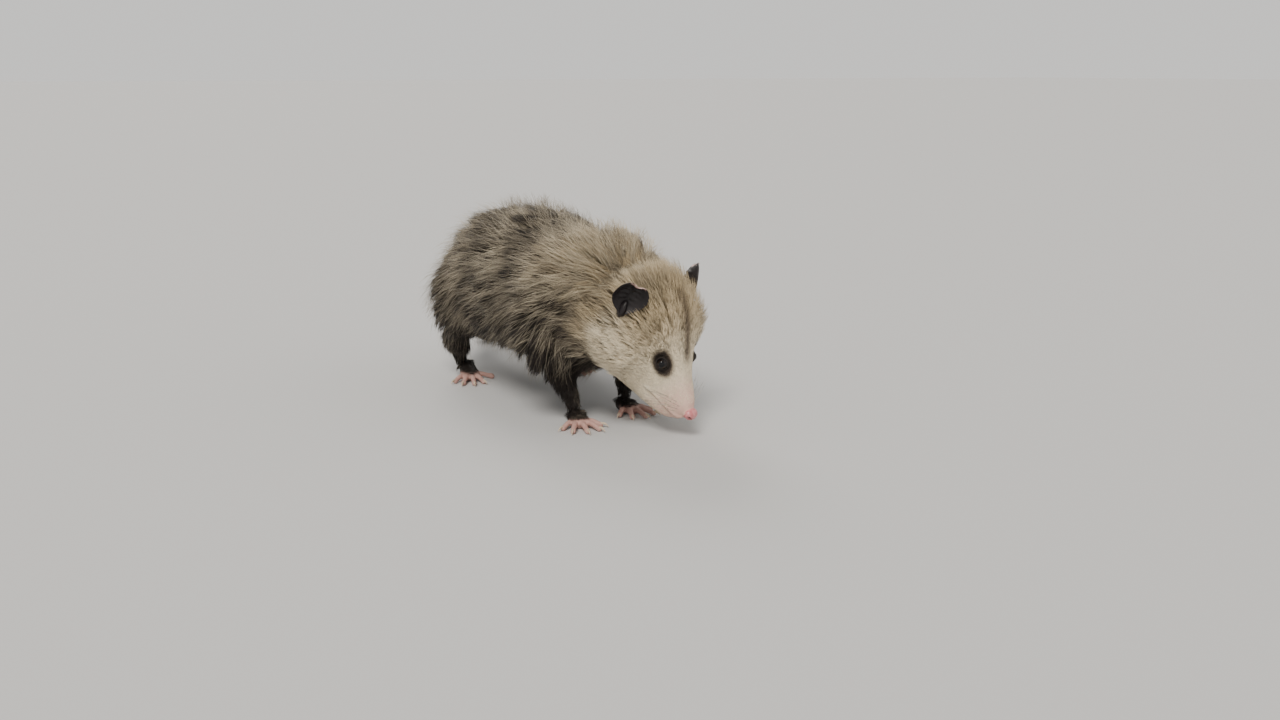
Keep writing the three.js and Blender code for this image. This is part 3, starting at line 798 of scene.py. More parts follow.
# the hairs' length and width in millimetres, their lift in degrees, and roots per square centimetre
COAT = for_solids({
    "neck": (38, 1.2, 30, 30), "chest": (38, 1.25, 25, 28), "loins": (41, 1.25, 26, 28),
    "tail_base": (15, 0.9, 16, 45), "tail_length_1": (4, 0.6, 10, 4),
    "shoulder_": (31, 1.2, 22, 30), "thigh_": (33, 1.2, 24, 30), "forearm_": (9, 0.75, 20, 70),
    "shank_": (10, 0.75, 20, 65), "forefoot_": (4.5, 0.55, 14, 60), "hindfoot_": (4.5, 0.55, 14, 60),
    "head": (12, 0.9, 18, 60),
})
# the same facts by the distance behind the nose
HEAD_COAT = between([[0, 2.6, 0.38, 8, 95], [15, 3.6, 0.42, 9, 95], [35, 5.2, 0.5, 10, 88],
                     [55, 9, 0.58, 20, 78], [72, 16, 0.68, 33, 68], [90, 27, 0.85, 42, 52],
                     [112, 37, 1.1, 42, 38], [150, 38, 1.2, 32, 30]])

skin_edges = edges_of(skin.data)
skin_points = points_of(skin.data)
skin_points[:, 2] = np.maximum(skin_points[:, 2], 0)
move_points(skin.data, skin_points)
skin_normals = points_of(skin.data, "normal")
behind, aside, over = in_head(skin_points)
measured = skin_points[::6]
part_of = nearest_node(measured, list(COAT))[nearest_places(measured, skin_points)[0]]
hair = relax(np.array(list(COAT.values()), float)[part_of], skin_edges, 40)
on_skull = (1 - smooth((behind - 108) / 22)) * inside_head(skin_points)
hair = hair + on_skull[:, None] * (HEAD_COAT(behind) - hair)
for side in SIDES.values():
    from_ear = np.linalg.norm(skin_points - on_head(102, side * 44, 12), axis=1) / mm
    hair[:, LENGTH] *= 0.55 + 0.45 * smooth((from_ear - 12) / 18)
ruff = smooth((np.abs(aside) - 20) / 14) * smooth((behind - 48) / 18) * on_skull
hair[:, LIFT] *= 1 + 0.75 * ruff
hair[:, LENGTH] *= 1 + 0.12 * ruff


def from_feet(points):
    """How far to the left of the middle between the feet, behind it and over it, in millimetres."""
    return (points - BETWEEN_FEET) / mm


_, back, height = from_feet(skin_points).T
nape = smooth((height - 105) / 30) * smooth((back + 90) / 30) * (1 - smooth((back - 5) / 40))
high_back = smooth((height - 135) / 30) * smooth((back - 10) / 30)
arch = high_back * smooth((back - 55) / 45) * (1 - smooth((back - 185) / 50))
hair[:, LIFT] *= 1 + 0.15 * nape - 0.42 * high_back + 0.6 * arch
hair[:, LENGTH] *= 1 + 0.08 * arch
print("hair: longest", hair[:, LENGTH].max().round(1), "mm")


# %% Which way the coat lies
TAIL_STEPS = 400
EYE_FLOW = 6.8            # the coat parts round a circle of this radius


def belongs(parts, *starts):
    """True where a part's number stands for a solid whose name starts so."""
    return np.isin(parts, [k for k, node in enumerate(COAT) if node.startswith(starts)])


tail_line = path_through(tail_joints, TAIL_STEPS)
tail_along = unit(np.gradient(tail_line, axis=0))
tail_place, tail_far = nearest_places(tail_line, skin_points)
on_tail = (tail_far < 14 * mm) & (tail_place > 110) | belongs(part_of, "tail")

sideness = np.abs(skin_normals[:, 0])[:, None]
lie = np.array([0, 1, 0]) - np.array([0, 0, 0.55]) * sideness
leg_lies = {("shoulder", "thigh"): [0, 0.6, -0.8], ("forearm", "shank"): [0, 0.2, -1],
            ("forefoot", "hindfoot"): [0, -1, -0.2]}
for starts, way in leg_lies.items():
    lie = np.where(belongs(part_of, *starts)[:, None], np.array(way), lie)
lie = np.where(on_tail[:, None], tail_along[tail_place], lie)
cheek = np.sign(aside)[:, None] * smooth((np.abs(aside) - 18) / 25)[:, None]
head_lie = -forward + 0.35 * cheek * left - 0.25 * np.abs(cheek) * upward
lie = lie + on_skull[:, None] * (head_lie - lie)
for side_name in SIDES:
    front, up, out = beside_eye(skin_points, side_name)
    away = np.maximum(np.hypot(front, up), EYE_FLOW)
    squeeze = (EYE_FLOW / away) ** 2
    flow_front = -(1 + squeeze) + 2 * squeeze * (front / away) ** 2
    flow_up = 2 * squeeze * front * up / away**2
    axes = eye_axes(side_name)
    flow = np.outer(flow_front + 0.2 * front / away, axes[0]) + np.outer(flow_up + 0.2 * up / away, axes[1])
    near = (1 - smooth((np.linalg.norm(skin_points - EYES[side_name], axis=1) / mm - 9) / 7))[:, None]
    lie = lie + near * (flow - 0.3 * axes[2] - lie)
    hair[:, LENGTH] *= 1 - 0.45 * near[:, 0]
    hair[:, DENSITY] *= 1 + 0.6 * near[:, 0]
lie = relax(lie, skin_edges, 30)
lie = unit(lie - np.sum(lie * skin_normals, axis=1)[:, None] * skin_normals)
print("lie: known at", len(lie), "points, of which", int(on_tail.sum()), "on the tail")

# %% [markdown]
# ## Markings
#
# Skin and coat carry the same markings, so one function works them out for any point: how dark the coat
# is, with painted shadow added over its rear, how yellow, how brown, and where the bare skin is pink. The
# dark ring round the eye runs to a point towards the nose, and a dusky stripe climbs the forehead.


# %% Markings
def waves(points, size, seed):
    """Soft irregular waves from -1 to 1, about as wide as size."""
    random = np.random.default_rng(seed)
    total = np.zeros(len(points))
    for _ in range(9):
        way = random.normal(size=3)
        way *= random.uniform(0.6, 1.5) * np.pi / (size * np.linalg.norm(way))
        total += np.sin(points @ way + random.uniform(0, 2 * np.pi))
    return np.clip(total / 3.2, -1, 1)


def toe_share(points):
    """1 on the bare toes and 0 on the dark, furred rest of each foot."""
    to_left, to_back, height = from_feet(points).T
    share = np.zeros(len(points))
    for kind, (middle, half) in {"fore": (2, 9.5), "hind": (7, 22)}.items():
        turn = math.radians(FEET[kind]["toes_out"])
        for side_name, side in SIDES.items():
            aside, behind = FEET[kind][side_name]
            x, y = side * to_left - aside, to_back - behind
            outward = x * math.cos(turn) + y * math.sin(turn)
            back = y * math.cos(turn) - x * math.sin(turn)
            ring = np.hypot(outward / 9.5, (back - middle) / half)
            near = (np.hypot(outward, back) < 45) & (np.sign(to_left) == side) & (back < middle + 8)
            before_heel = 1 - smooth((back - middle + 1) / 5)
            share = np.maximum(share, near * before_heel * smooth((ring - 0.85) / 0.6))
    return share * (1 - smooth((height - 8) / 4))


# height over the floor, and how far back the pale mane reaches there; behind that line the coat is
# darker, partly by its own colour and partly by painted shadow
MANE_ENDS = between([[78, -48], [94, -40], [108, -26], [122, -15], [134, -5], [147, 15], [162, 44],
                     [180, 50]])


# how dark the front of the coat is, how much darker its rear (its own colour and painted shadow together)
# and its low flank, and the tail's base
DARK_FRONT, DARKER_REAR_AND_SHADOW, DARKER_BELOW, DARK_TAIL_BASE = 0.22, 0.61, 0.14, 0.5
STRIPE_ASIDE, STRIPE_WIDE, STRIPE_BROWN = 1.5, 5.8, 0.82


def markings(points):
    """How dark, yellow, brown and pink the animal is at each point, from 0 to 1, with painted shadow on the
    rear.
    """
    behind, aside, over = in_head(points)
    _, back, height = from_feet(points).T
    head = (1 - smooth((behind - 98) / 18)) * inside_head(points)
    legs = (1 - smooth((height - 62) / 26)) * (1 - smooth((back - 280) / 14)) * (1 - head)
    patches = waves(points, 34 * mm, 3)
    mane_ends = MANE_ENDS(height)[:, 0]
    behind_mane = smooth((back - mane_ends + 24 + 12 * patches) / 48)
    low_flank = 1 - smooth((height - 88) / 50)
    # the rear is darker partly by its own grizzled colour and partly by painted shadow
    body_dark = DARK_FRONT + DARKER_REAR_AND_SHADOW * behind_mane + DARKER_BELOW * low_flank
    body_dark = body_dark + (0.08 + 0.10 * behind_mane) * patches
    tail_base = smooth((back - 262) / 24)
    body_dark = body_dark + tail_base * (DARK_TAIL_BASE - body_dark)
    neck_pale = 1 - behind_mane
    dark = np.clip(np.maximum(body_dark * (1 - head), legs * 0.98), 0, 1)
    crown = head * smooth((behind - 42) / 48) * smooth((over + 2) / 32)
    yellow = 0.75 * crown + (0.3 + 0.5 * neck_pale + 0.1 * patches) * (1 - legs) * (1 - head)
    stripe = STRIPE_BROWN * (bell((aside - STRIPE_ASIDE) / STRIPE_WIDE) * smooth((behind - 32) / 18))
    stripe = stripe * (1 - smooth((behind - 104) / 14))
    ridge = 0.2 * bell(aside / 9) * smooth((behind - 10) / 14) * (1 - smooth((behind - 60) / 20))
    snout = 0.1 * (1 - smooth((behind - 28) / 24))
    brown = np.maximum(np.maximum(stripe, ridge) * (over > 0), snout) * head
    for side_name in SIDES:
        front, up, out = beside_eye(points, side_name)
        stretch = np.where(front > 0, 16.0, 13.5)
        ring = np.hypot(front / stretch, (up - 0.8 + 0.12 * front) / 10.2)
        patch = (1 - smooth((ring - 0.62) / 0.62)) * (out > -10)
        brown = np.maximum(brown, 0.97 * patch)
        dark = np.maximum(dark, 0.97 * (1 - smooth((ring - 0.5) / 0.5)) * (out > -10))
    pink = head * (1 - smooth((behind - 11) / 30))
    return dark, yellow, brown, np.maximum(pink, toe_share(points))


def keep_values(mesh, **values):
    """Stores values at the points of a mesh, under names that a material can read."""
    for name, numbers in values.items():
        kept = mesh.attributes.new(name, "FLOAT", "POINT")
        kept.data.foreach_set("value", np.asarray(numbers, np.float32).ravel())


# shares of the tail's length: the fur ends, and the black of its first half turns to flesh colour
FUR_ENDS, BLACK_ENDS, BLACK_FADE = 0.15, 0.42, 0.1
dark, yellow, brown, pink = markings(skin_points)
bare_tail = relax(smooth((tail_place / TAIL_STEPS - FUR_ENDS) / 0.03) * on_tail, skin_edges, 4)
tail_black = bare_tail * (1 - smooth((tail_place / TAIL_STEPS - BLACK_ENDS) / BLACK_FADE))
lip_line = bell(over_lips(skin_points) / 0.5) * (1 - smooth((behind - MOUTH_CORNER + 7) / 8))
lip_line *= (np.abs(aside) < MOUTH_ASIDE) * on_skull
keep_values(skin.data, on_face=on_skull, lip_line=lip_line, dark=dark, yellow=yellow, brown=brown,
            pink=pink, bare_tail=bare_tail, tail_black=tail_black)
print("the skin is dark by", dark.mean().round(2), "and pink by", pink.mean().round(2))

# %% [markdown]
# ## Colours
#
# All materials are built from nodes. The coat's colour is one node group, because skin and coat share it:
# it mixes four named colours by the stored markings and then shades them. Each of the two materials
# places the group with a shade of its own: on the skin it wanders softly, and on a tuft it is painted
# shade that runs from a dark root to the tip, with a tone that differs from tuft to tuft. Soft clouds of
# noise are a group too, because every material wants some, each of another size.


# %% Node helpers
def group_of(name, inputs, outputs):
    """An empty shader group with named inputs and outputs."""
    group = bpy.data.node_groups.new(name, "ShaderNodeTree")
    kinds = {"colour": "NodeSocketColor", "number": "NodeSocketFloat", "vector": "NodeSocketVector"}
    for way, sockets in (("INPUT", inputs), ("OUTPUT", outputs)):
        for label, kind in sockets.items():
            group.interface.new_socket(label, in_out=way, socket_type=kinds[kind])
    return group, group.nodes.new("NodeGroupInput").outputs, group.nodes.new("NodeGroupOutput").inputs


def placed(tree, group, values):
    """Places a group in a tree, with a value or another node's socket for each input."""
    node = tree.nodes.new("ShaderNodeGroup")
    node.node_tree = group
    for label, value in values.items():
        feed(tree, node.inputs[label], value)
    return node.outputs[0]


def maths(tree, operation, a, b=0.0):
    """One step of reckoning with two values."""
    node = tree.nodes.new("ShaderNodeMath")
    node.operation = operation
    feed(tree, node.inputs[0], a)
    feed(tree, node.inputs[1], b)
    return node.outputs[0]


def blend(tree, share, a, b):
    """Mixes two colours by a share."""
    node = tree.nodes.new("ShaderNodeMix")
    node.data_type = "RGBA"
    for label, value in (("Factor", share), ("A", a), ("B", b)):
        feed(tree, node.inputs[label], value)
    return node.outputs["Result"]


# %% Clouds of noise
clouds, given, result = group_of("clouds", {"Place": "vector", "Size": "number", "Detail": "number"},
                                 {"Share": "number"})
lumps = clouds.nodes.new("ShaderNodeTexNoise")
feed(clouds, lumps.inputs["Vector"], given["Place"])
feed(clouds, lumps.inputs["Scale"], maths(clouds, "DIVIDE", 1.0, given["Size"]))
feed(clouds, lumps.inputs["Detail"], given["Detail"])
feed(clouds, result["Share"], lumps.outputs["Fac"])


def own_place(tree):
    """The piece's own coordinates."""
    return tree.nodes.new("ShaderNodeTexCoord").outputs["Object"]


def noise(tree, size, detail=3.0, place=None):
    """Places the group of clouds, with lumps of about that size in metres."""
    return placed(tree, clouds, {"Place": place or own_place(tree), "Size": size, "Detail": detail})


def wander(tree, size, low=0.0, high=1.0, detail=3.0):
    """A number that wanders softly between two others over the surface."""
    return ranged(tree, noise(tree, size, detail), 0.3, 0.7, low, high)


def stored(tree, name):
    """A value that the mesh keeps under a name."""
    node = tree.nodes.new("ShaderNodeAttribute")
    node.attribute_name = name
    return node.outputs["Fac"]


def bump(tree, shader, height, strength, distance):
    """Roughens a shader's surface by a height."""
    node = tree.nodes.new("ShaderNodeBump")
    for label, value in (("Strength", strength), ("Distance", distance), ("Height", height)):
        feed(tree, node.inputs[label], value)
    feed(tree, shader.inputs["Normal"], node.outputs["Normal"])


# %% Coat colour group
COAT_COLOURS = {"Pale colour": (0.84, 0.74, 0.56, 1), "Yellow colour": (0.47, 0.36, 0.205, 1),
                "Brown colour": (0.060, 0.036, 0.024, 1), "Dark colour": (0.024, 0.018, 0.015, 1)}
MARKS = ("Yellow", "Brown", "Dark")
coat_colour, given, result = group_of(
    "coat colour", {**dict.fromkeys((*MARKS, "Shade"), "number"), **dict.fromkeys(COAT_COLOURS, "colour")},
    {"Color": "colour"})
mixed = given["Pale colour"]
for mark in MARKS:
    mixed = blend(coat_colour, given[mark], mixed, given[f"{mark} colour"])
shaded = coat_colour.nodes.new("ShaderNodeVectorMath")
shaded.operation = "SCALE"
feed(coat_colour, shaded.inputs[0], mixed)
feed(coat_colour, shaded.inputs["Scale"], given["Shade"])
feed(coat_colour, result["Color"], shaded.outputs[0])


def shaded_coat(tree, shade):
    """Places the coat's colour group, fed by the stored markings."""
    marks = {mark: stored(tree, mark.lower()) for mark in MARKS}
    return placed(tree, coat_colour, {**marks, "Shade": shade, **COAT_COLOURS})


print("coat colour group:", len(coat_colour.nodes), "nodes")


# %% Coat and skin materials
BROWNISH = (0.6, 0.5, 0.4)
# the darkest and the lightest colour of each kind of bare skin
PINK_SKIN = (0.56, 0.29, 0.25, 1), (0.74, 0.50, 0.43, 1)
TAIL_SKIN = (0.36, 0.25, 0.21, 1), (0.52, 0.41, 0.35, 1)
BLACK_SKIN = (0.020, 0.016, 0.016, 1), (0.060, 0.046, 0.044, 1)
LIP_RED = (0.10, 0.035, 0.032, 1)

coat_material, tree, shader = material_of("coat", BROWNISH, 0.62, specular=0.3)
# painted shade deep in the coat: the stored along value darkens each tuft towards its root
root_shade = ranged(tree, stored(tree, "along"), 0.0, 1.0, 0.25, 1.08)
varied = ranged(tree, stored(tree, "tone"), -1.0, 1.0, 0.66, 1.26)
streaky = wander(tree, 1.6 * mm, 0.88, 1.1, detail=2.0)
shade = maths(tree, "MULTIPLY", maths(tree, "MULTIPLY", root_shade, varied), streaky)
feed(tree, shader.inputs["Base Color"], shaded_coat(tree, shade))

skin_material, tree, shader = material_of("skin", BROWNISH, 0.6, specular=0.25)
mottled = noise(tree, 5 * mm, 4.0)
colour = shaded_coat(tree, wander(tree, 3 * mm, 0.72, 0.95))
pink_share = maths(tree, "MULTIPLY", stored(tree, "pink"), 0.75)
lip_share = maths(tree, "MULTIPLY", stored(tree, "lip_line"), 0.8)
for share, cover in ((pink_share, blend(tree, mottled, *PINK_SKIN)), (lip_share, LIP_RED),
                     (stored(tree, "bare_tail"), blend(tree, mottled, *TAIL_SKIN)),
                     (stored(tree, "tail_black"), blend(tree, mottled, *BLACK_SKIN))):
    colour = blend(tree, share, colour, cover)
feed(tree, shader.inputs["Base Color"], colour)
# on the face the noise is stretched nine times along the head, into short lying hairs
combed = tree.nodes.new("ShaderNodeMapping")
combed.vector_type = "TEXTURE"
combed.inputs["Rotation"].default_value = Vector(forward).to_track_quat("X", "Z").to_euler()
combed.inputs["Scale"].default_value = (9, 1, 1)
feed(tree, combed.inputs["Vector"], own_place(tree))
short_hairs = noise(tree, 0.3 * mm, 2.0, combed.outputs["Vector"])
short_hairs = maths(tree, "MULTIPLY", short_hairs, stored(tree, "on_face"))
bump(tree, shader, maths(tree, "ADD", noise(tree, 0.8 * mm, 4.0), short_hairs), 0.5, 0.3 * mm)
skin.data.materials.append(skin_material)
print("skin material:", len(tree.nodes), "nodes")

# %% [markdown]
# ## Eyes
#
# An opossum's eye is a black bead that stands out a little. The ball is a grid of rings round the way it
# looks, with a small bulge for the cornea. A stored value says how far a point is from that axis, so the
# material can draw the pupil, the dark iris and its thin edge. A clear coat makes it wet.


# %% Eyes
BALL_SIDES = 48
# degrees from the way the eye looks: where the iris begins and ends, each with a soft edge
IRIS_FROM, IRIS_TO = (26, 30), (48, 42)


def around_axis(axis, angles, sides):
    """Unit directions in rings round an axis, at the given angles from it: rings x sides x 3."""
    across = unit(np.cross(axis, [0.31, 0.2, 0.93]))
    up = np.cross(axis, across)
    turn = 2 * np.pi * np.arange(sides) / sides
    ring = np.cos(turn)[:, None] * across + np.sin(turn)[:, None] * up
    return np.cos(angles)[:, None, None] * axis + np.sin(angles)[:, None, None] * ring[None]


def eyeball(side_name):
    """An eyeball with its cornea, with each point's angle from the way the eye looks stored on it."""
    angles = np.radians(np.linspace(2, 178, 45))
    ways = around_axis(EYE_WAYS[side_name], angles, BALL_SIDES)
    radius = EYE_RADIUS - 0.1 + 0.5 * (1 - smooth((np.degrees(angles) - 18) / 24))
    points, triangles = loft(EYES[side_name] + mm * radius[:, None, None] * ways)
    mesh = mesh_of(f"eyeball_{side_name}", points, triangles)
    keep_values(mesh, axis_angle=np.degrees(np.r_[np.repeat(angles, BALL_SIDES), 0, np.pi]))
    return object_of(f"eyeball_{side_name}", mesh, eye_material)


eye_material, tree, shader = material_of("wet black eye", (0.01, 0.008, 0.007), 0.12, specular=0.0,
                                         varnish=0.6, varnish_roughness=0.03)
axis_angle = stored(tree, "axis_angle")
streaks = noise(tree, 0.5 * mm, 4.0)
iris = blend(tree, streaks, (0.006, 0.004, 0.004, 1), (0.014, 0.008, 0.006, 1))
in_iris = maths(tree, "MULTIPLY", ranged(tree, axis_angle, *IRIS_FROM), ranged(tree, axis_angle, *IRIS_TO))
feed(tree, shader.inputs["Base Color"], blend(tree, in_iris, (0.004, 0.004, 0.005, 1), iris))
bump(tree, shader, streaks, 0.15, 0.1 * mm)
eyeballs = {side_name: eyeball(side_name) for side_name in SIDES}
print("eyeballs:", [len(ball.data.polygons) for ball in eyeballs.values()], "faces")

# %% [markdown]
# ## Nose
#
# The nose pad is bare, pink and damp, with a furrow down its middle and two nostrils shaped like commas
# that open to the sides. It is an ellipsoid of fine facets; the furrow and the nostrils are pressed into
# it as bell-shaped dents, and the nostrils have a slightly raised rim.

# %% Nose pad
NOSTRIL_ASIDE, NOSTRIL_DEEP, FURROW_DEEP = 4.0, 3.0, 0.7
ways = around_axis(forward, np.radians(np.linspace(1, 179, 80)), 120)
ahead, aside, over = (radius * (ways @ axis) for radius, axis in zip(PAD_RADII, HEAD_AXES))
dent = FURROW_DEEP * bell(aside / 0.55) * smooth((1.5 - over) / 2.5)
for side in SIDES.values():
    outwards = side * aside - NOSTRIL_ASIDE
    height = over + 0.3 - 0.25 * outwards
    far = np.hypot(outwards / np.where(outwards > 0, 2.3, 1.5), height / 1.35)
    dent += NOSTRIL_DEEP * bell(far) * (ahead > 0) - 0.45 * bell((far - 1.75) / 0.5)
dent *= smooth((ways @ forward + 0.2) / 0.4)
shrink = 1 - dent / np.linalg.norm([ahead, aside, over], axis=0)
pad = PAD_MIDDLE + mm * sum((shrink * part)[..., None] * axis
                            for part, axis in zip((ahead, aside, over), HEAD_AXES))
nose_mesh = mesh_of("nose_pad", *loft(pad))
# painted shade: the nostrils and the furrow are darkened by how deep they are pressed in
keep_values(nose_mesh, hollow=np.r_[np.clip(dent / 2.2, 0, 1).ravel(), 0, 0])

nose_material, tree, shader = material_of("damp pink nose", (0.6, 0.3, 0.28), 0.34, varnish=0.25,
                                          varnish_roughness=0.15)
blotches = ranged(tree, noise(tree, 3 * mm), 0.35, 0.65)
pink = blend(tree, blotches, (0.50, 0.15, 0.16, 1), (0.66, 0.27, 0.27, 1))
# painted shade darkens the pad in its nostrils and its furrow
feed(tree, shader.inputs["Base Color"], blend(tree, stored(tree, "hollow"), pink, (0.06, 0.012, 0.012, 1)))
pebbles = tree.nodes.new("ShaderNodeTexVoronoi")
feed(tree, pebbles.inputs["Vector"], own_place(tree))
feed(tree, pebbles.inputs["Scale"], 1 / (0.55 * mm))
bump(tree, shader, maths(tree, "SUBTRACT", 1.0, pebbles.outputs["Distance"]), 0.5, 0.12 * mm)
feed(tree, shader.inputs["Roughness"], wander(tree, 1.2 * mm, 0.26, 0.48))
nose_pad = object_of("nose_pad", nose_mesh, nose_material)
print("nose pad:", len(nose_mesh.polygons), "faces")

# %% [markdown]
# ## Ears
#
# The ears are bare, black and thin as leather, with a pinkish tip. Each is a shallow bowl with a fold at
# the top that parts it in two lobes, on a short stalk that sinks into the coat. The bowl is a loft of
# rings that runs from the middle of the inside over the rim to the middle of the back, so it is closed
# and has a true thickness. A few ridges run across the inside, as on the real ear.

# %% Ear shape
EAR_BEHIND, EAR_ASIDE, EAR_OVER = 104, 50, 19
EAR_LONG, EAR_WIDE, EAR_THICK, EAR_CUP = 37, 32, 1.8, 8.5
EAR_TALL = {"right": (-0.35, -0.12, 0.93), "left": (-0.8, 0.1, 0.6)}
EAR_SIDES = 112
ear_turn = 2 * np.pi * np.arange(EAR_SIDES) / EAR_SIDES
from_fold = (ear_turn - 0.12 + np.pi) % (2 * np.pi) - np.pi
# each ring's reach, 0 in the bowl's middle and 1 at its rim, and its wall: 1 inside, -1 at the back
reaches = np.linspace(0.03, 1, 30)
EAR_RINGS = [*[(reach, 1.0) for reach in reaches], (1.02, 0.5), (1.025, 0.0), (1.02, -0.5),
             *[(reach, -1.0) for reach in reaches[::-1]]]


def ear_axes(side_name):
    """The ear's root, and its ways up, outwards through its opening, and across."""
    tall = head_way(*EAR_TALL[side_name])
    opening = head_way(0.66, SIDES[side_name] * 0.66, 0.36)
    opening = unit(opening - tall * np.dot(opening, tall))
    root = on_head(EAR_BEHIND, SIDES[side_name] * EAR_ASIDE, EAR_OVER)
    return root, tall, opening, np.cross(tall, opening)


def ear_ring(side_name, reach, wall):
    """One ring of the ear's bowl, with its fold, its narrow foot, its ridges and its wavy rim."""
    root, tall, opening, across = ear_axes(side_name)
    fold = bell(from_fold / 0.3)
    narrowing = 1 - 0.42 * np.maximum(0, -np.cos(ear_turn)) ** 2
    along = EAR_LONG / 2 * (1 - 0.16 * fold) * np.cos(ear_turn)
    wide = EAR_WIDE / 2 * narrowing * np.sin(ear_turn)
    along += 0.25 * reach**3 * (np.sin(7 * ear_turn + 1) + 0.5 * np.sin(11 * ear_turn))
    curl = EAR_CUP * (reach**2.2 * (1 + 0.35 * fold) - 0.4)
    height = reach * along
    ridges = 0.4 * np.sin(height * 1.3 + 0.8) * smooth(reach * 3) * smooth((0.84 - reach) / 0.4)
    curl = curl + ridges * smooth((np.abs(wide) - 2) / 5) + 0.3 * np.sin(3 * ear_turn + 4 * reach)
    half = EAR_THICK / 2 * (1 - 0.35 * reach)
    return root + mm * (np.outer(EAR_LONG / 2 + height, tall) + np.outer(reach * wide, across)
                        + np.outer(curl + wall * half, opening))


ear_bowls = {side_name: loft(np.array([ear_ring(side_name, reach, wall) for reach, wall in EAR_RINGS]))
             for side_name in SIDES}
print("ear bowls:", len(EAR_RINGS), "rings of", EAR_SIDES, "points")

# %% Ears
at_tip = bell(from_fold / 0.55)
pale_tip = np.array([smooth((reach - 0.62) / 0.3) * at_tip * (1.0 if wall > 0 else 0.85)
                     for reach, wall in EAR_RINGS])
ear_material, tree, shader = material_of("black ear leather", (0.02, 0.017, 0.018), 0.42, specular=0.35)
black = blend(tree, noise(tree, 4 * mm, 4.0), (0.005, 0.004, 0.005, 1), (0.022, 0.017, 0.018, 1))
frayed = maths(tree, "ADD", stored(tree, "pale_tip"), wander(tree, 2.5 * mm, -0.3, 0.3))
tip_share = ranged(tree, frayed, 0.35, 0.75)
feed(tree, shader.inputs["Base Color"], blend(tree, tip_share, black, (0.60, 0.40, 0.35, 1)))
feed(tree, shader.inputs["Roughness"], wander(tree, 2 * mm, 0.34, 0.55))
creases = maths(tree, "ADD", noise(tree, 0.7 * mm, 5.0), noise(tree, 2.4 * mm, 2.0))
bump(tree, shader, creases, 0.6, 0.25 * mm)
ears = {}
for side_name, side in SIDES.items():
    root, tall, opening, across = ear_axes(side_name)
    stalk = tube([on_head(EAR_BEHIND, side * 36, 4), root, root + mm * (7.4 * tall - 3.2 * opening)],
                 [(5.5 * mm, 4.5 * mm), (6.2 * mm, 4.4 * mm), (6.2 * mm, 2.4 * mm)], 14, 28, across)
    mesh = mesh_of(f"ear_skin_{side_name}", *together([ear_bowls[side_name], stalk]))
    keep_values(mesh, pale_tip=np.r_[pale_tip.ravel(), np.zeros(2 + len(stalk[0]))])
    ears[side_name] = object_of(f"ear_skin_{side_name}", mesh, ear_material)
print("ears:", [len(ear.data.polygons) for ear in ears.values()], "faces")

# %% [markdown]
# ## Claws and whiskers
#
# Eighteen toes carry a slim claw of pale horn; the two big toes of the hind feet have none. The whiskers
# stand in rows on the snout, with a few over the eyes and on the cheeks. Both are tapered tubes along a
# curve. They are few and all different, so a loop makes them.

# %% Claws
CLAW_LONG = 8


def claw_body(kind, side_name, toe):
    """A claw, from inside the toe over a bend to its point just over the floor."""
    beyond = CLAW_LONG / toe[1]
    shape = [(0.92, 3.6, 1.1, 1.2), (1.02, 3.9, 1.15, 1.5), (1 + 0.55 * beyond, 4.0, 0.8, 1.1),
             (1 + beyond, 1.5, 0.22, 0.25)]
    return toe_tube(kind, side_name, toe, shape, 14)


claw_bodies = [claw_body(kind, side_name, toe) for kind in FEET for side_name in SIDES
               for toe in TOES[kind] if toe[3]]
claw_material, tree, shader = material_of("pale horn", (0.6, 0.5, 0.38), 0.32)
horn = blend(tree, noise(tree, 2 * mm, 4.0), (0.42, 0.31, 0.21, 1), (0.70, 0.60, 0.46, 1))
feed(tree, shader.inputs["Base Color"], horn)
bump(tree, shader, noise(tree, 0.4 * mm, 4.0), 0.3, 0.1 * mm)
claws = object_of("claws", mesh_of("claws", *together(claw_bodies)), claw_material)
print("claws:", len(claw_bodies))

# %% Whiskers
# behind and over of each row's first root, its first length in millimetres, and how many it has
ROWS = [(8, 1.5, 44, 3), (6, -2.2, 48, 4), (6, -5.8, 46, 4), (9, -9.0, 38, 3)]
WHISKERS = [(row_behind + 4.6 * k + 0.8 * row, row_over, length - 3.5 * k)
            for row, (row_behind, row_over, length, count) in enumerate(ROWS) for k in range(count)]
BROWS = [(54, 25, 30), (57, 27, 26), (74, -12, 40), (77, -16, 36), (79, -9, 30)]
WHISKER_RADII = (0.14, 0.13, 0.10, 0.07, 0.03)
random = np.random.default_rng(41)
skin_faces = corners_of(skin.data)
skin_tree = BVHTree.FromPolygons(skin_points.tolist(), skin_faces.tolist())
whisker_bodies = []
for side in SIDES.values():
    for behind, over, length in WHISKERS + BROWS:
        start = on_head(behind + random.uniform(-0.6, 0.6), side * 60, over + random.uniform(-0.5, 0.5))
        root, root_normal = (np.array(found) for found in skin_tree.ray_cast(start, -side * left)[:2])
        way = 0.75 * side * left + 0.35 * root_normal - 0.55 * forward + random.normal(0, 0.09, 3)
        way = unit(way)
        droop = random.uniform(0.1, 0.35)
        joints = [root - 0.8 * mm * way]
        for share in (0.25, 0.5, 0.75, 1.0):
            at = root + mm * length * share * (way - forward * 0.3 * share - UP * droop * share)
            joints.append(at + [0, 0, max(0, 1.2 * mm - at[2])])
        sizes = [(radius * mm, radius * mm) for radius in WHISKER_RADII]
        whisker_bodies.append(tube(joints, sizes, 14, 5, UP))
whisker_material, tree, shader = material_of("whisker", (0.5, 0.45, 0.38), 0.4)
dark_share = ranged(tree, noise(tree, 12 * mm), 0.4, 0.6)
whisker_colour = blend(tree, dark_share, (0.05, 0.04, 0.035, 1), (0.62, 0.56, 0.46, 1))
feed(tree, shader.inputs["Base Color"], whisker_colour)
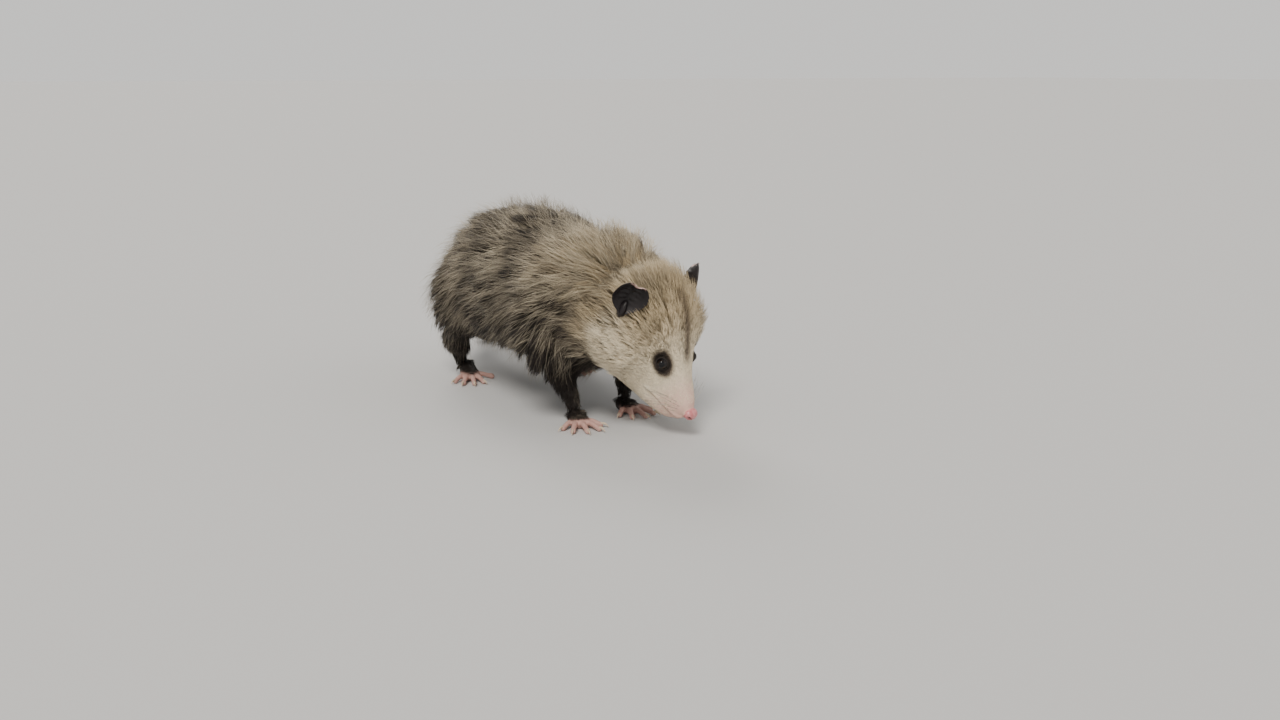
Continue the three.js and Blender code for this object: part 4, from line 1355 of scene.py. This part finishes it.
whiskers = object_of("whiskers", mesh_of("whiskers", *together(whisker_bodies)), whisker_material)
print("whiskers:", len(whisker_bodies))

# %% [markdown]
# ## The coat
#
# Real fur is made of tufts: dozens of hairs that cling together and end in one point. Each tuft here is a
# closed three-sided needle of mesh. It starts just under the skin, rises at the coat's own angle, bends
# over with the lie of the coat and sags a little. The tufts of one lock are drawn towards a common tip,
# which gives the shaggy, clumped look of a long coat.
#
# Particle hair would be lost when the model is exported, so numpy works out all the points at once.


# %% Roots on the skin
face_corners = skin_points[skin_faces]
face_cross = np.cross(face_corners[:, 1] - face_corners[:, 0], face_corners[:, 2] - face_corners[:, 0])
skin_areas = np.linalg.norm(face_cross, axis=1) / 2 + 1e-14
face_middle = face_corners.mean(1)


def scattered(weight, count, random):
    """Random places on the skin, denser where the weight of a face is larger: faces and shares."""
    total = np.cumsum(weight)
    face = np.searchsorted(total, random.random(count) * total[-1])
    a, b = np.sqrt(random.random(count)), random.random(count)
    return face, np.stack([1 - a, a * (1 - b), a * b], axis=1)


def planted(weight, count, random):
    """Roots on the skin, with the way out of it, the lie of the coat and the hair's facts there."""
    face, shares = scattered(weight, count, random)
    roots, normals, lies, facts = (np.einsum("ij,ij...->i...", shares, field[skin_faces[face]])
                                   for field in (skin_points, skin_normals, lie, hair))
    return roots, unit(normals), unit(lies), facts


def weight_area(weight):
    """The area of the faces that have more than a tenth of the greatest weight for their size."""
    dense = weight / skin_areas
    return skin_areas[dense > 0.1 * dense.max()].sum()


print("skin's area:", round(skin_areas.sum() * 1e4), "square centimetres")


# %% Tufts
def swung(lies, normals, turn):
    """The lie turned about the way out of the skin, and the way sideways."""
    sideways = np.cross(normals, lies)
    return lies * np.cos(turn)[:, None] + sideways * np.sin(turn)[:, None], sideways


def hair_lines(roots, normals, lies, length, lift, steps, sag):
    """The line that each tuft follows: it starts in the skin, rises, and bends over along the lie."""
    lines = [roots - normals * (0.4 * mm)]
    for step in range(steps):
        share = (step + 0.5) / steps
        angle = lift * (1.5 - 1.2 * share)
        way = lies * np.cos(angle)[:, None] + normals * np.sin(angle)[:, None] - UP * (sag * share)
        lines.append(lines[-1] + unit(way) * (length / steps)[:, None])
    return np.stack(lines, axis=1)


def needles(lines, normals, width):
    """Closed three-sided tapering needles along the lines."""
    count, steps = lines.shape[0], lines.shape[1] - 1
    along = unit(np.gradient(lines, axis=1))
    side = unit(np.cross(along, normals[:, None, :]))
    up = np.cross(side, along)
    share = np.arange(steps) / steps
    swell = (0.55 + 1.5 * share) * (1 - share) ** 0.8
    half = (width[:, None] * swell / 2)[..., None]
    rings = lines[:, :-1, None, :] + np.stack([side[:, :-1] * half, up[:, :-1] * half * 0.7,
                                               -side[:, :-1] * half], axis=2)
    points = np.concatenate([rings.reshape(count, steps * 3, 3), lines[:, -1:, :]], axis=1)
    faces = [(0, 1, 2)]
    for step in range(steps - 1):
        for k in range(3):
            a, b = step * 3 + k, step * 3 + (k + 1) % 3
            faces += [(a, a + 3, b + 3), (a, b + 3, b)]
    last = (steps - 1) * 3
    faces += [(last + k, steps * 3, last + (k + 1) % 3) for k in range(3)]
    triangles = np.array(faces)[None] + (np.arange(count) * (steps * 3 + 1))[:, None, None]
    return points, triangles.reshape(-1, 3)


EAR_GAP = 1.2 * mm
ear_trees = [BVHTree.FromPolygons(points.tolist(), triangles.tolist())
             for points, triangles in ear_bowls.values()]
ear_places = [points.mean(0) for points, _ in ear_bowls.values()]


def clear_of_ears(lines):
    """True for the lines that pass no ear."""
    free = np.ones(len(lines), bool)
    for ear_tree, ear_place in zip(ear_trees, ear_places):
        close = np.linalg.norm(lines - ear_place, axis=2).min(axis=1) < 34 * mm
        for k in np.flatnonzero(close):
            hits = [ear_tree.find_nearest(point, EAR_GAP)[0] for point in lines[k, 1:]]
            hits += [ear_tree.ray_cast(a, b - a, np.linalg.norm(b - a))[0]
                     for a, b in zip(lines[k, :-1], lines[k, 1:])]
            free[k] = all(hit is None for hit in hits)
    return free


# %% Colours and map of the tufts
PATCH = 0.003             # the size of one tuft's patch on the map


def tuft_rings(steps):
    """How far along its tuft each point lies, from 0 to 1."""
    return np.r_[np.repeat(np.arange(steps) / steps, 3), 1.0]


def paint_tufts(mesh, lines, lock, lock_count, random, tips, pale, contrast):
    """Stores on a coat piece the markings, the tone, and painted root shade by the place along each tuft."""
    count = len(lines)
    rings = tuft_rings(lines.shape[1] - 1)
    dark, yellow, brown, _ = markings(lines[:, -2])
    mood = 0.75 * random.uniform(-1, 1, lock_count)[lock] + 0.55 * random.uniform(-1, 1, count)
    dark = np.clip(dark + 1.1 * mood * np.sqrt(np.clip(dark * (1 - dark), 0, 1)), 0, 1)
    tip_dark, tip_share = tips
    darker = (random.random(count) < tip_share) * tip_dark
    dark = dark[:, None] * (1 - pale * rings[None]) + darker[:, None] * smooth((rings - 0.35) / 0.4)[None]
    tone = 0.6 * random.uniform(-1, 1, lock_count)[lock] + 0.4 * random.uniform(-1, 1, count)
    # painted shade: along is lowest at the root, by as much as contrast says
    along = 1 - (1 - np.minimum(rings / 0.75, 1)) * contrast
    keep_values(mesh, along=np.tile(along, count), tone=np.repeat(tone * contrast, len(rings)),
                dark=np.clip(dark, 0, 1), yellow=np.repeat(yellow * (1 - pale), len(rings)),
                brown=np.repeat(brown, len(rings)))


def map_tufts(mesh, triangles, roots, steps, unwrap):
    """Lays each tuft on a small patch of the map, where the unwrap puts its root."""
    around = np.r_[np.tile([-0.5, 0, 0.5], steps), 0.0]
    root_map = 0.01 + 0.98 * np.clip(unwrap(roots), 0, 1)
    corner = root_map[:, None, :] + PATCH * np.stack([around, tuft_rings(steps) - 0.5], axis=1)[None]
    uv = mesh.uv_layers.new(name="OFBake")
    uv.data.foreach_set("uv", corner.reshape(-1, 2)[triangles.ravel()].astype(np.float32).ravel())


# %% One piece of coat
HIGHEST = cad_box[1][2] + 13 * mm      # no tip stands higher, so the coat keeps to the solids' box
LOWEST = 0.6 * mm
FEWEST_LOCKS = 8
coat_pieces = []


def coat_piece(name, weight, count, steps, seed, unwrap, longer=1.0, thinner=1.0, steeper=1.0, clump=0.75,
               lock_size=11, wild=15, sag=0.25, tips=(0.0, 0.3), pale=0.0, contrast=1.0):
    """One piece of coat, grown on the faces that have a weight.

    lock_size is in millimetres, and wild is how far locks stray from the lie, in degrees. tips says how
    much darker the tips of some tufts are, and the share of such tufts. contrast is how much painted shade
    darkens the tufts towards their roots, and how much their tones differ from each other.
    """
    random = np.random.default_rng(seed)
    roots, normals, lies, facts = planted(weight, count, random)
    length = facts[:, LENGTH] * mm * longer * random.uniform(0.75, 1.12, count)
    width = facts[:, WIDTH] * mm * thinner * random.uniform(0.7, 1.2, count)
    lift = np.radians(facts[:, LIFT]) * steeper * random.uniform(0.6, 1.4, count)

    lock_count = max(FEWEST_LOCKS, int(weight_area(weight) / (lock_size * mm) ** 2))
    lock_roots, lock_normals, lock_lies, lock_facts = planted(weight, lock_count, random)
    lock_turn = np.radians(random.normal(0, wild, lock_count))
    lock_lies = swung(lock_lies, lock_normals, lock_turn)[0]
    lock_lift = np.radians(lock_facts[:, LIFT]) * steeper * random.uniform(0.5, 1.5, lock_count)
    lock_length = lock_facts[:, LENGTH] * mm * longer * random.uniform(0.85, 1.1, lock_count)
    lock_lines = hair_lines(lock_roots, lock_normals, lock_lies, lock_length, lock_lift, steps, sag)
    lock = nearest_places(lock_roots, roots)[0]

    turn = lock_turn[lock] * 0.7 + np.radians(random.normal(0, wild * 0.35, count))
    lies, sideways = swung(lies, normals, turn)
    lines = hair_lines(roots, normals, lies, length, lift, steps, sag)
    share = np.linspace(0, 1, steps + 1)
    pull = (clump * smooth(share * 1.1))[None, :, None] * random.uniform(0.6, 1.0, count)[:, None, None]
    lines += pull * (lock_lines[lock] - lines)
    bend = share[None] * random.uniform(3, 6, count)[:, None] + random.uniform(0, 6.3, count)[:, None]
    lines += (np.sin(bend) * share[None] * (0.05 * length)[:, None])[..., None] * sideways[:, None, :]
    lines[:, :, 2] = np.maximum(lines[:, :, 2], LOWEST)
    lines[:, :, 2] = np.minimum(lines[:, :, 2], HIGHEST - 0.4 * mm * random.random(count)[:, None])

    free = clear_of_ears(lines)
    lines, lock = lines[free], lock[free]
    points, triangles = needles(lines, normals[free], width[free])
    mesh = mesh_of(name, points.reshape(-1, 3), triangles)
    paint_tufts(mesh, lines, lock, lock_count, random, tips, pale, contrast)
    map_tufts(mesh, triangles, roots[free], steps, unwrap)
    coat_pieces.append(object_of(name, mesh, coat_material))
    print(name, len(mesh.polygons), "faces,", lock_count, "locks")


# %% [markdown]
# ## A map for the coat
#
# When the model is exported, its colours are painted on a flat map. An automatic unwrap of so many
# thousand tufts would give each of them less than a speck of it. Here each tuft gets a small patch where its
# root would lie if the skin were rolled out, and neighbours share the patch, since they have nearly the
# same colours. The trunk, the head and each leg are rolled out like the label of a tin.


# %% Unwraps of the skin
def share_of_turn(across, up):
    """The way round a middle line, from 0 to 1."""
    return np.arctan2(across, up) / (2 * np.pi) + 0.5


def round_body(points):
    """Round the trunk and along it."""
    to_left, back, height = from_feet(points).T
    return np.stack([share_of_turn(to_left, height - 110), (back + 120) / 440], axis=1)


def round_head(points):
    """Round the head and back from the nose."""
    behind, aside, over = in_head(points)
    return np.stack([share_of_turn(aside, over + 5), behind / 150], axis=1)


def round_legs(points):
    """Each leg has a strip of its own: round the leg and up it."""
    to_left, back, height = from_feet(points).T
    left_leg = to_left > 0
    strip = (back > 120) * 2 + left_leg
    feet = np.array([FEET[kind][side_name] for kind in ("fore", "hind")
                     for side_name in ("right", "left")], float)[strip]
    across = to_left - np.where(left_leg, 1, -1) * (feet[:, 0] + 4)
    around = share_of_turn(across, back - feet[:, 1] - 12)
    return np.stack([(strip + 0.04 + 0.92 * around) / 4, height / 170], axis=1)


# %% Where the coat grows
is_skull = on_skull[skin_faces].mean(1) > 0.5
face_part = part_of[skin_faces[:, 0]]
face_behind = in_head(face_middle)[0]
face_left, _, face_height = from_feet(face_middle).T
face_up = unit(face_cross)[:, 2]
bare = np.zeros(len(skin_faces), bool)
for side_name in SIDES:
    front, up, out = beside_eye(face_middle, side_name)
    from_axis = np.degrees(np.arctan2(np.hypot(front, up), out))
    bare |= (from_axis < 68) & (np.linalg.norm(face_middle - EYES[side_name], axis=1) < 9 * mm)
bare |= (face_behind < 4) | (np.abs(over_lips(face_middle)) < 0.9) & (face_behind < MOUTH_CORNER - 4)
soles = (face_height < 7) | ((face_up < -0.1) & (face_height < 13))
toes_bare = (face_height < 9) & (face_up < 0.3)
bare |= (soles | toes_bare | (toe_share(face_middle) > 0.3)) & ~is_skull
bare |= (bare_tail[skin_faces].mean(1) > 0.6)
grown = np.where(bare, 0, skin_areas * hair[skin_faces, DENSITY].mean(1))
print("bare faces:", int(bare.sum()))


# %% Grow the coat
def on_part(*starts):
    """The weight of the faces that belong to parts of the body with such names."""
    return grown * (belongs(face_part, *starts) & ~is_skull)


coat_piece("coat_face", grown * (is_skull & (face_behind < 62)), 17500, 2, 11, round_head, clump=0.2,
           lock_size=5, wild=5, sag=0.0, contrast=0.35)
coat_piece("coat_crown", grown * (is_skull & (face_behind >= 62)), 12000, 3, 12, round_head, clump=0.38,
           lock_size=7, wild=8, sag=0.1, contrast=0.48, thinner=0.85)
coat_piece("coat_neck", on_part("neck", "head"), 11000, 3, 13, round_body, tips=(0.4, 0.2), thinner=0.85,
           contrast=0.6)
for part, count, seed in (("chest", 8600, 21), ("loins", 9300, 25)):
    for side_name, side in SIDES.items():
        on_side = (face_left > 0) == (side > 0)
        coat_piece(f"coat_{part}_{side_name}", on_part(part) * on_side, count, 3, seed + side, round_body,
                   tips=(0.4, 0.35), wild=18, thinner=0.82)
coat_piece("coat_upper_legs", on_part("shoulder", "thigh"), 8500, 3, 31, round_legs, tips=(0.5, 0.3),
           thinner=0.85)
coat_piece("coat_lower_legs", on_part("forearm", "shank", "forefoot", "hindfoot"), 9500, 2, 32,
           round_legs, clump=0.4, lock_size=5, wild=8, sag=0.0)
coat_piece("coat_tail_base", on_part("tail"), 1500, 3, 33, round_body, clump=0.5, lock_size=6)
guard = on_part("neck", "chest", "loins", "shoulder", "thigh", "head")
guard = guard * (0.25 + 0.75 * smooth((face_height - 60) / 60)) * (1 + 1.2 * nape[skin_faces].mean(1))
coat_piece("guard_hairs", guard, 12000, 3, 34, round_body, longer=1.28, thinner=0.30, steeper=1.25,
           clump=0.3, wild=24, pale=0.5, tips=(0.2, 0.2), contrast=0.7)
print("coat:", sum(len(piece.data.polygons) for piece in coat_pieces), "faces")

# %% [markdown]
# ## Scales on the tail
#
# The bare part of the tail is covered with rings of small flat scales. They repeat hundreds of times
# along a curved path, which is work for Geometry Nodes: the tree gets one point for each scale, with its
# size and two directions stored on it, and sets a small six-sided plate on every point. A plate has just
# a dozen facets. Realize Instances turns them all into plain mesh, which the export needs.

# %% Places of the scales
# from ring to ring, round the tail, and how deep a scale sits in the skin, in millimetres
SCALE_LONG, SCALE_WIDE, SCALE_SUNK = 2.3, 1.9, 0.18
FIRST_RING = 0.16         # as a share of the tail's length
FEWEST_ROUND = 10
fine_line = path_through(tail_joints, 3000, tail_sizes)
fine_place, fine_size = fine_line[:, :3], fine_line[:, 3]
distance = np.r_[0, np.cumsum(np.linalg.norm(np.diff(fine_place, axis=0), axis=1))]
fine_way = unit(np.gradient(fine_place, axis=0))
random = np.random.default_rng(51)
places, facings, ways, sizes, dark_scales = [], [], [], [], []
first_ring, last_ring = distance[-1] * FIRST_RING, distance[-1] + 1 * mm
ring_count = int((last_ring - first_ring) / (SCALE_LONG * mm))
for ring in range(ring_count):
    k = min(np.searchsorted(distance, first_ring + ring * SCALE_LONG * mm), len(fine_place) - 1)
    side = unit(np.cross(fine_way[k], UP))
    up = np.cross(side, fine_way[k])
    radius = fine_size[k]
    around = max(FEWEST_ROUND, round(2 * math.pi * radius / (SCALE_WIDE * mm)))
    turn = 2 * np.pi * (np.arange(around) + 0.5 * (ring % 2) + random.uniform(-0.1, 0.1, around)) / around
    facing = np.cos(turn)[:, None] * side + np.sin(turn)[:, None] * up
    places.append(fine_place[k] + facing * (radius - SCALE_SUNK * mm))
    facings.append(facing)
    ways.append(np.repeat(fine_way[k][None], around, axis=0))
    sizes.append(np.full(around, 2 * math.pi * radius / around))
    black = 1 - smooth((distance[k] / distance[-1] - BLACK_ENDS) / BLACK_FADE)
    dark_scales.append(np.full(around, black) + random.normal(0, 0.12, around))
scale_seeds = bpy.data.meshes.new("scale places")
scale_seeds.from_pydata(np.vstack(places).tolist(), [], [])
for name, values in (("facing", facings), ("along_tail", ways)):
    kept = scale_seeds.attributes.new(name, "FLOAT_VECTOR", "POINT")
    kept.data.foreach_set("vector", np.vstack(values).astype(np.float32).ravel())
keep_values(scale_seeds, scale_size=np.concatenate(sizes),
            scale_dark=np.clip(np.concatenate(dark_scales), 0, 1))
print("scales:", len(scale_seeds.vertices), "in", ring_count, "rings")

# %% Plates by Geometry Nodes
scale_tree = bpy.data.node_groups.new("scales on a tail", "GeometryNodeTree")
interface = scale_tree.interface
interface.new_socket("Geometry", in_out="INPUT", socket_type="NodeSocketGeometry")
for label in ("Width", "Length", "Thickness"):
    interface.new_socket(label, in_out="INPUT", socket_type="NodeSocketFloat")
interface.new_socket("Seed", in_out="INPUT", socket_type="NodeSocketInt")
interface.new_socket("Material", in_out="INPUT", socket_type="NodeSocketMaterial")
interface.new_socket("Geometry", in_out="OUTPUT", socket_type="NodeSocketGeometry")
given = scale_tree.nodes.new("NodeGroupInput").outputs
result = scale_tree.nodes.new("NodeGroupOutput").inputs


def geometry_node(kind, **links):
    """Adds a node and feeds its named inputs, where a blank in a name is written as one underscore."""
    node = scale_tree.nodes.new(kind)
    for label, value in links.items():
        feed(scale_tree, node.inputs[label.replace("_", " ")], value)
    return node


def tail_field(name, kind):
    """A value that was stored on the scales' places."""
    node = scale_tree.nodes.new("GeometryNodeInputNamedAttribute")
    node.data_type = kind
    node.inputs["Name"].default_value = name
    return node.outputs["Attribute"]


plate = geometry_node("GeometryNodeMeshCone", Vertices=6, Radius_Top=0.32, Radius_Bottom=0.5, Depth=0.5)
size = geometry_node("ShaderNodeCombineXYZ", X=given["Length"], Y=given["Width"], Z=given["Thickness"])
shaped = geometry_node("GeometryNodeTransform", Geometry=plate.outputs["Mesh"], Scale=size.outputs[0])
upright = geometry_node("FunctionNodeAlignRotationToVector", Vector=tail_field("facing", "FLOAT_VECTOR"))
upright.axis = "Z"
turned = geometry_node("FunctionNodeAlignRotationToVector", Rotation=upright.outputs[0],
                       Vector=tail_field("along_tail", "FLOAT_VECTOR"))
turned.axis, turned.pivot_axis = "X", "Z"
varied = geometry_node("FunctionNodeRandomValue", Seed=given["Seed"])
feed(scale_tree, varied.inputs[2], 0.85)
feed(scale_tree, varied.inputs[3], 1.1)
scaled = maths(scale_tree, "MULTIPLY", varied.outputs[1], tail_field("scale_size", "FLOAT"))
plates = geometry_node("GeometryNodeInstanceOnPoints", Points=given["Geometry"], Scale=scaled,
                       Instance=shaped.outputs["Geometry"], Rotation=turned.outputs[0])
real = geometry_node("GeometryNodeRealizeInstances", Geometry=plates.outputs["Instances"])
painted = geometry_node("GeometryNodeSetMaterial", Geometry=real.outputs["Geometry"],
                        Material=given["Material"])
feed(scale_tree, result[0], painted.outputs["Geometry"])

scale_material, tree, shader = material_of("tail scales", (0.5, 0.4, 0.34), 0.42)
blotchy = wander(tree, 4 * mm, detail=4.0)
pale = blend(tree, blotchy, (0.40, 0.28, 0.23, 1), (0.62, 0.50, 0.42, 1))
black = blend(tree, blotchy, (0.012, 0.010, 0.011, 1), (0.050, 0.040, 0.040, 1))
feed(tree, shader.inputs["Base Color"], blend(tree, stored(tree, "scale_dark"), pale, black))
feed(tree, shader.inputs["Roughness"], wander(tree, 1.5 * mm, 0.34, 0.55))
bump(tree, shader, noise(tree, 0.4 * mm, 4.0), 0.4, 0.1 * mm)

scales = object_of("tail_scales", scale_seeds)
modifier = scales.modifiers.new("scales", "NODES")
modifier.node_group = scale_tree
wanted = {"Width": 1.02, "Length": 1.25, "Thickness": 0.5, "Seed": 7, "Material": scale_material}
for socket in interface.items_tree:
    if socket.in_out == "INPUT" and socket.name in wanted:
        modifier[socket.identifier] = wanted[socket.name]
finished(scales)
scales.data.materials.clear()
scales.data.materials.append(scale_material)
scales.data.polygons.foreach_set("material_index", np.zeros(len(scales.data.polygons), np.int32))
plate_points = points_of(scales.data)
plate_points[:, 2] = np.maximum(plate_points[:, 2], 0.02 * mm)
move_points(scales.data, plate_points)
print("tail scales:", len(scales.data.polygons), "faces")

# %% [markdown]
# ## Riding on the frame
#
# The animal has no joints, so every piece rides on the one rigid body. The skin stands for all solids of
# flesh, and eyes, ears and nose stand for their own; the solids themselves are hidden.

# %% Ride, replace and finish
OWN_SOLIDS = {"eye_left": eyeballs["left"], "eye_right": eyeballs["right"], "ear_left": ears["left"],
              "ear_right": ears["right"], "nose": nose_pad}
for piece in [skin, nose_pad, claws, whiskers, scales, *ears.values(), *eyeballs.values(), *coat_pieces]:
    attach(piece, "root")
for node, piece in OWN_SOLIDS.items():
    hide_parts(node)
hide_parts(*[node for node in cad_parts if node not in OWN_SOLIDS])
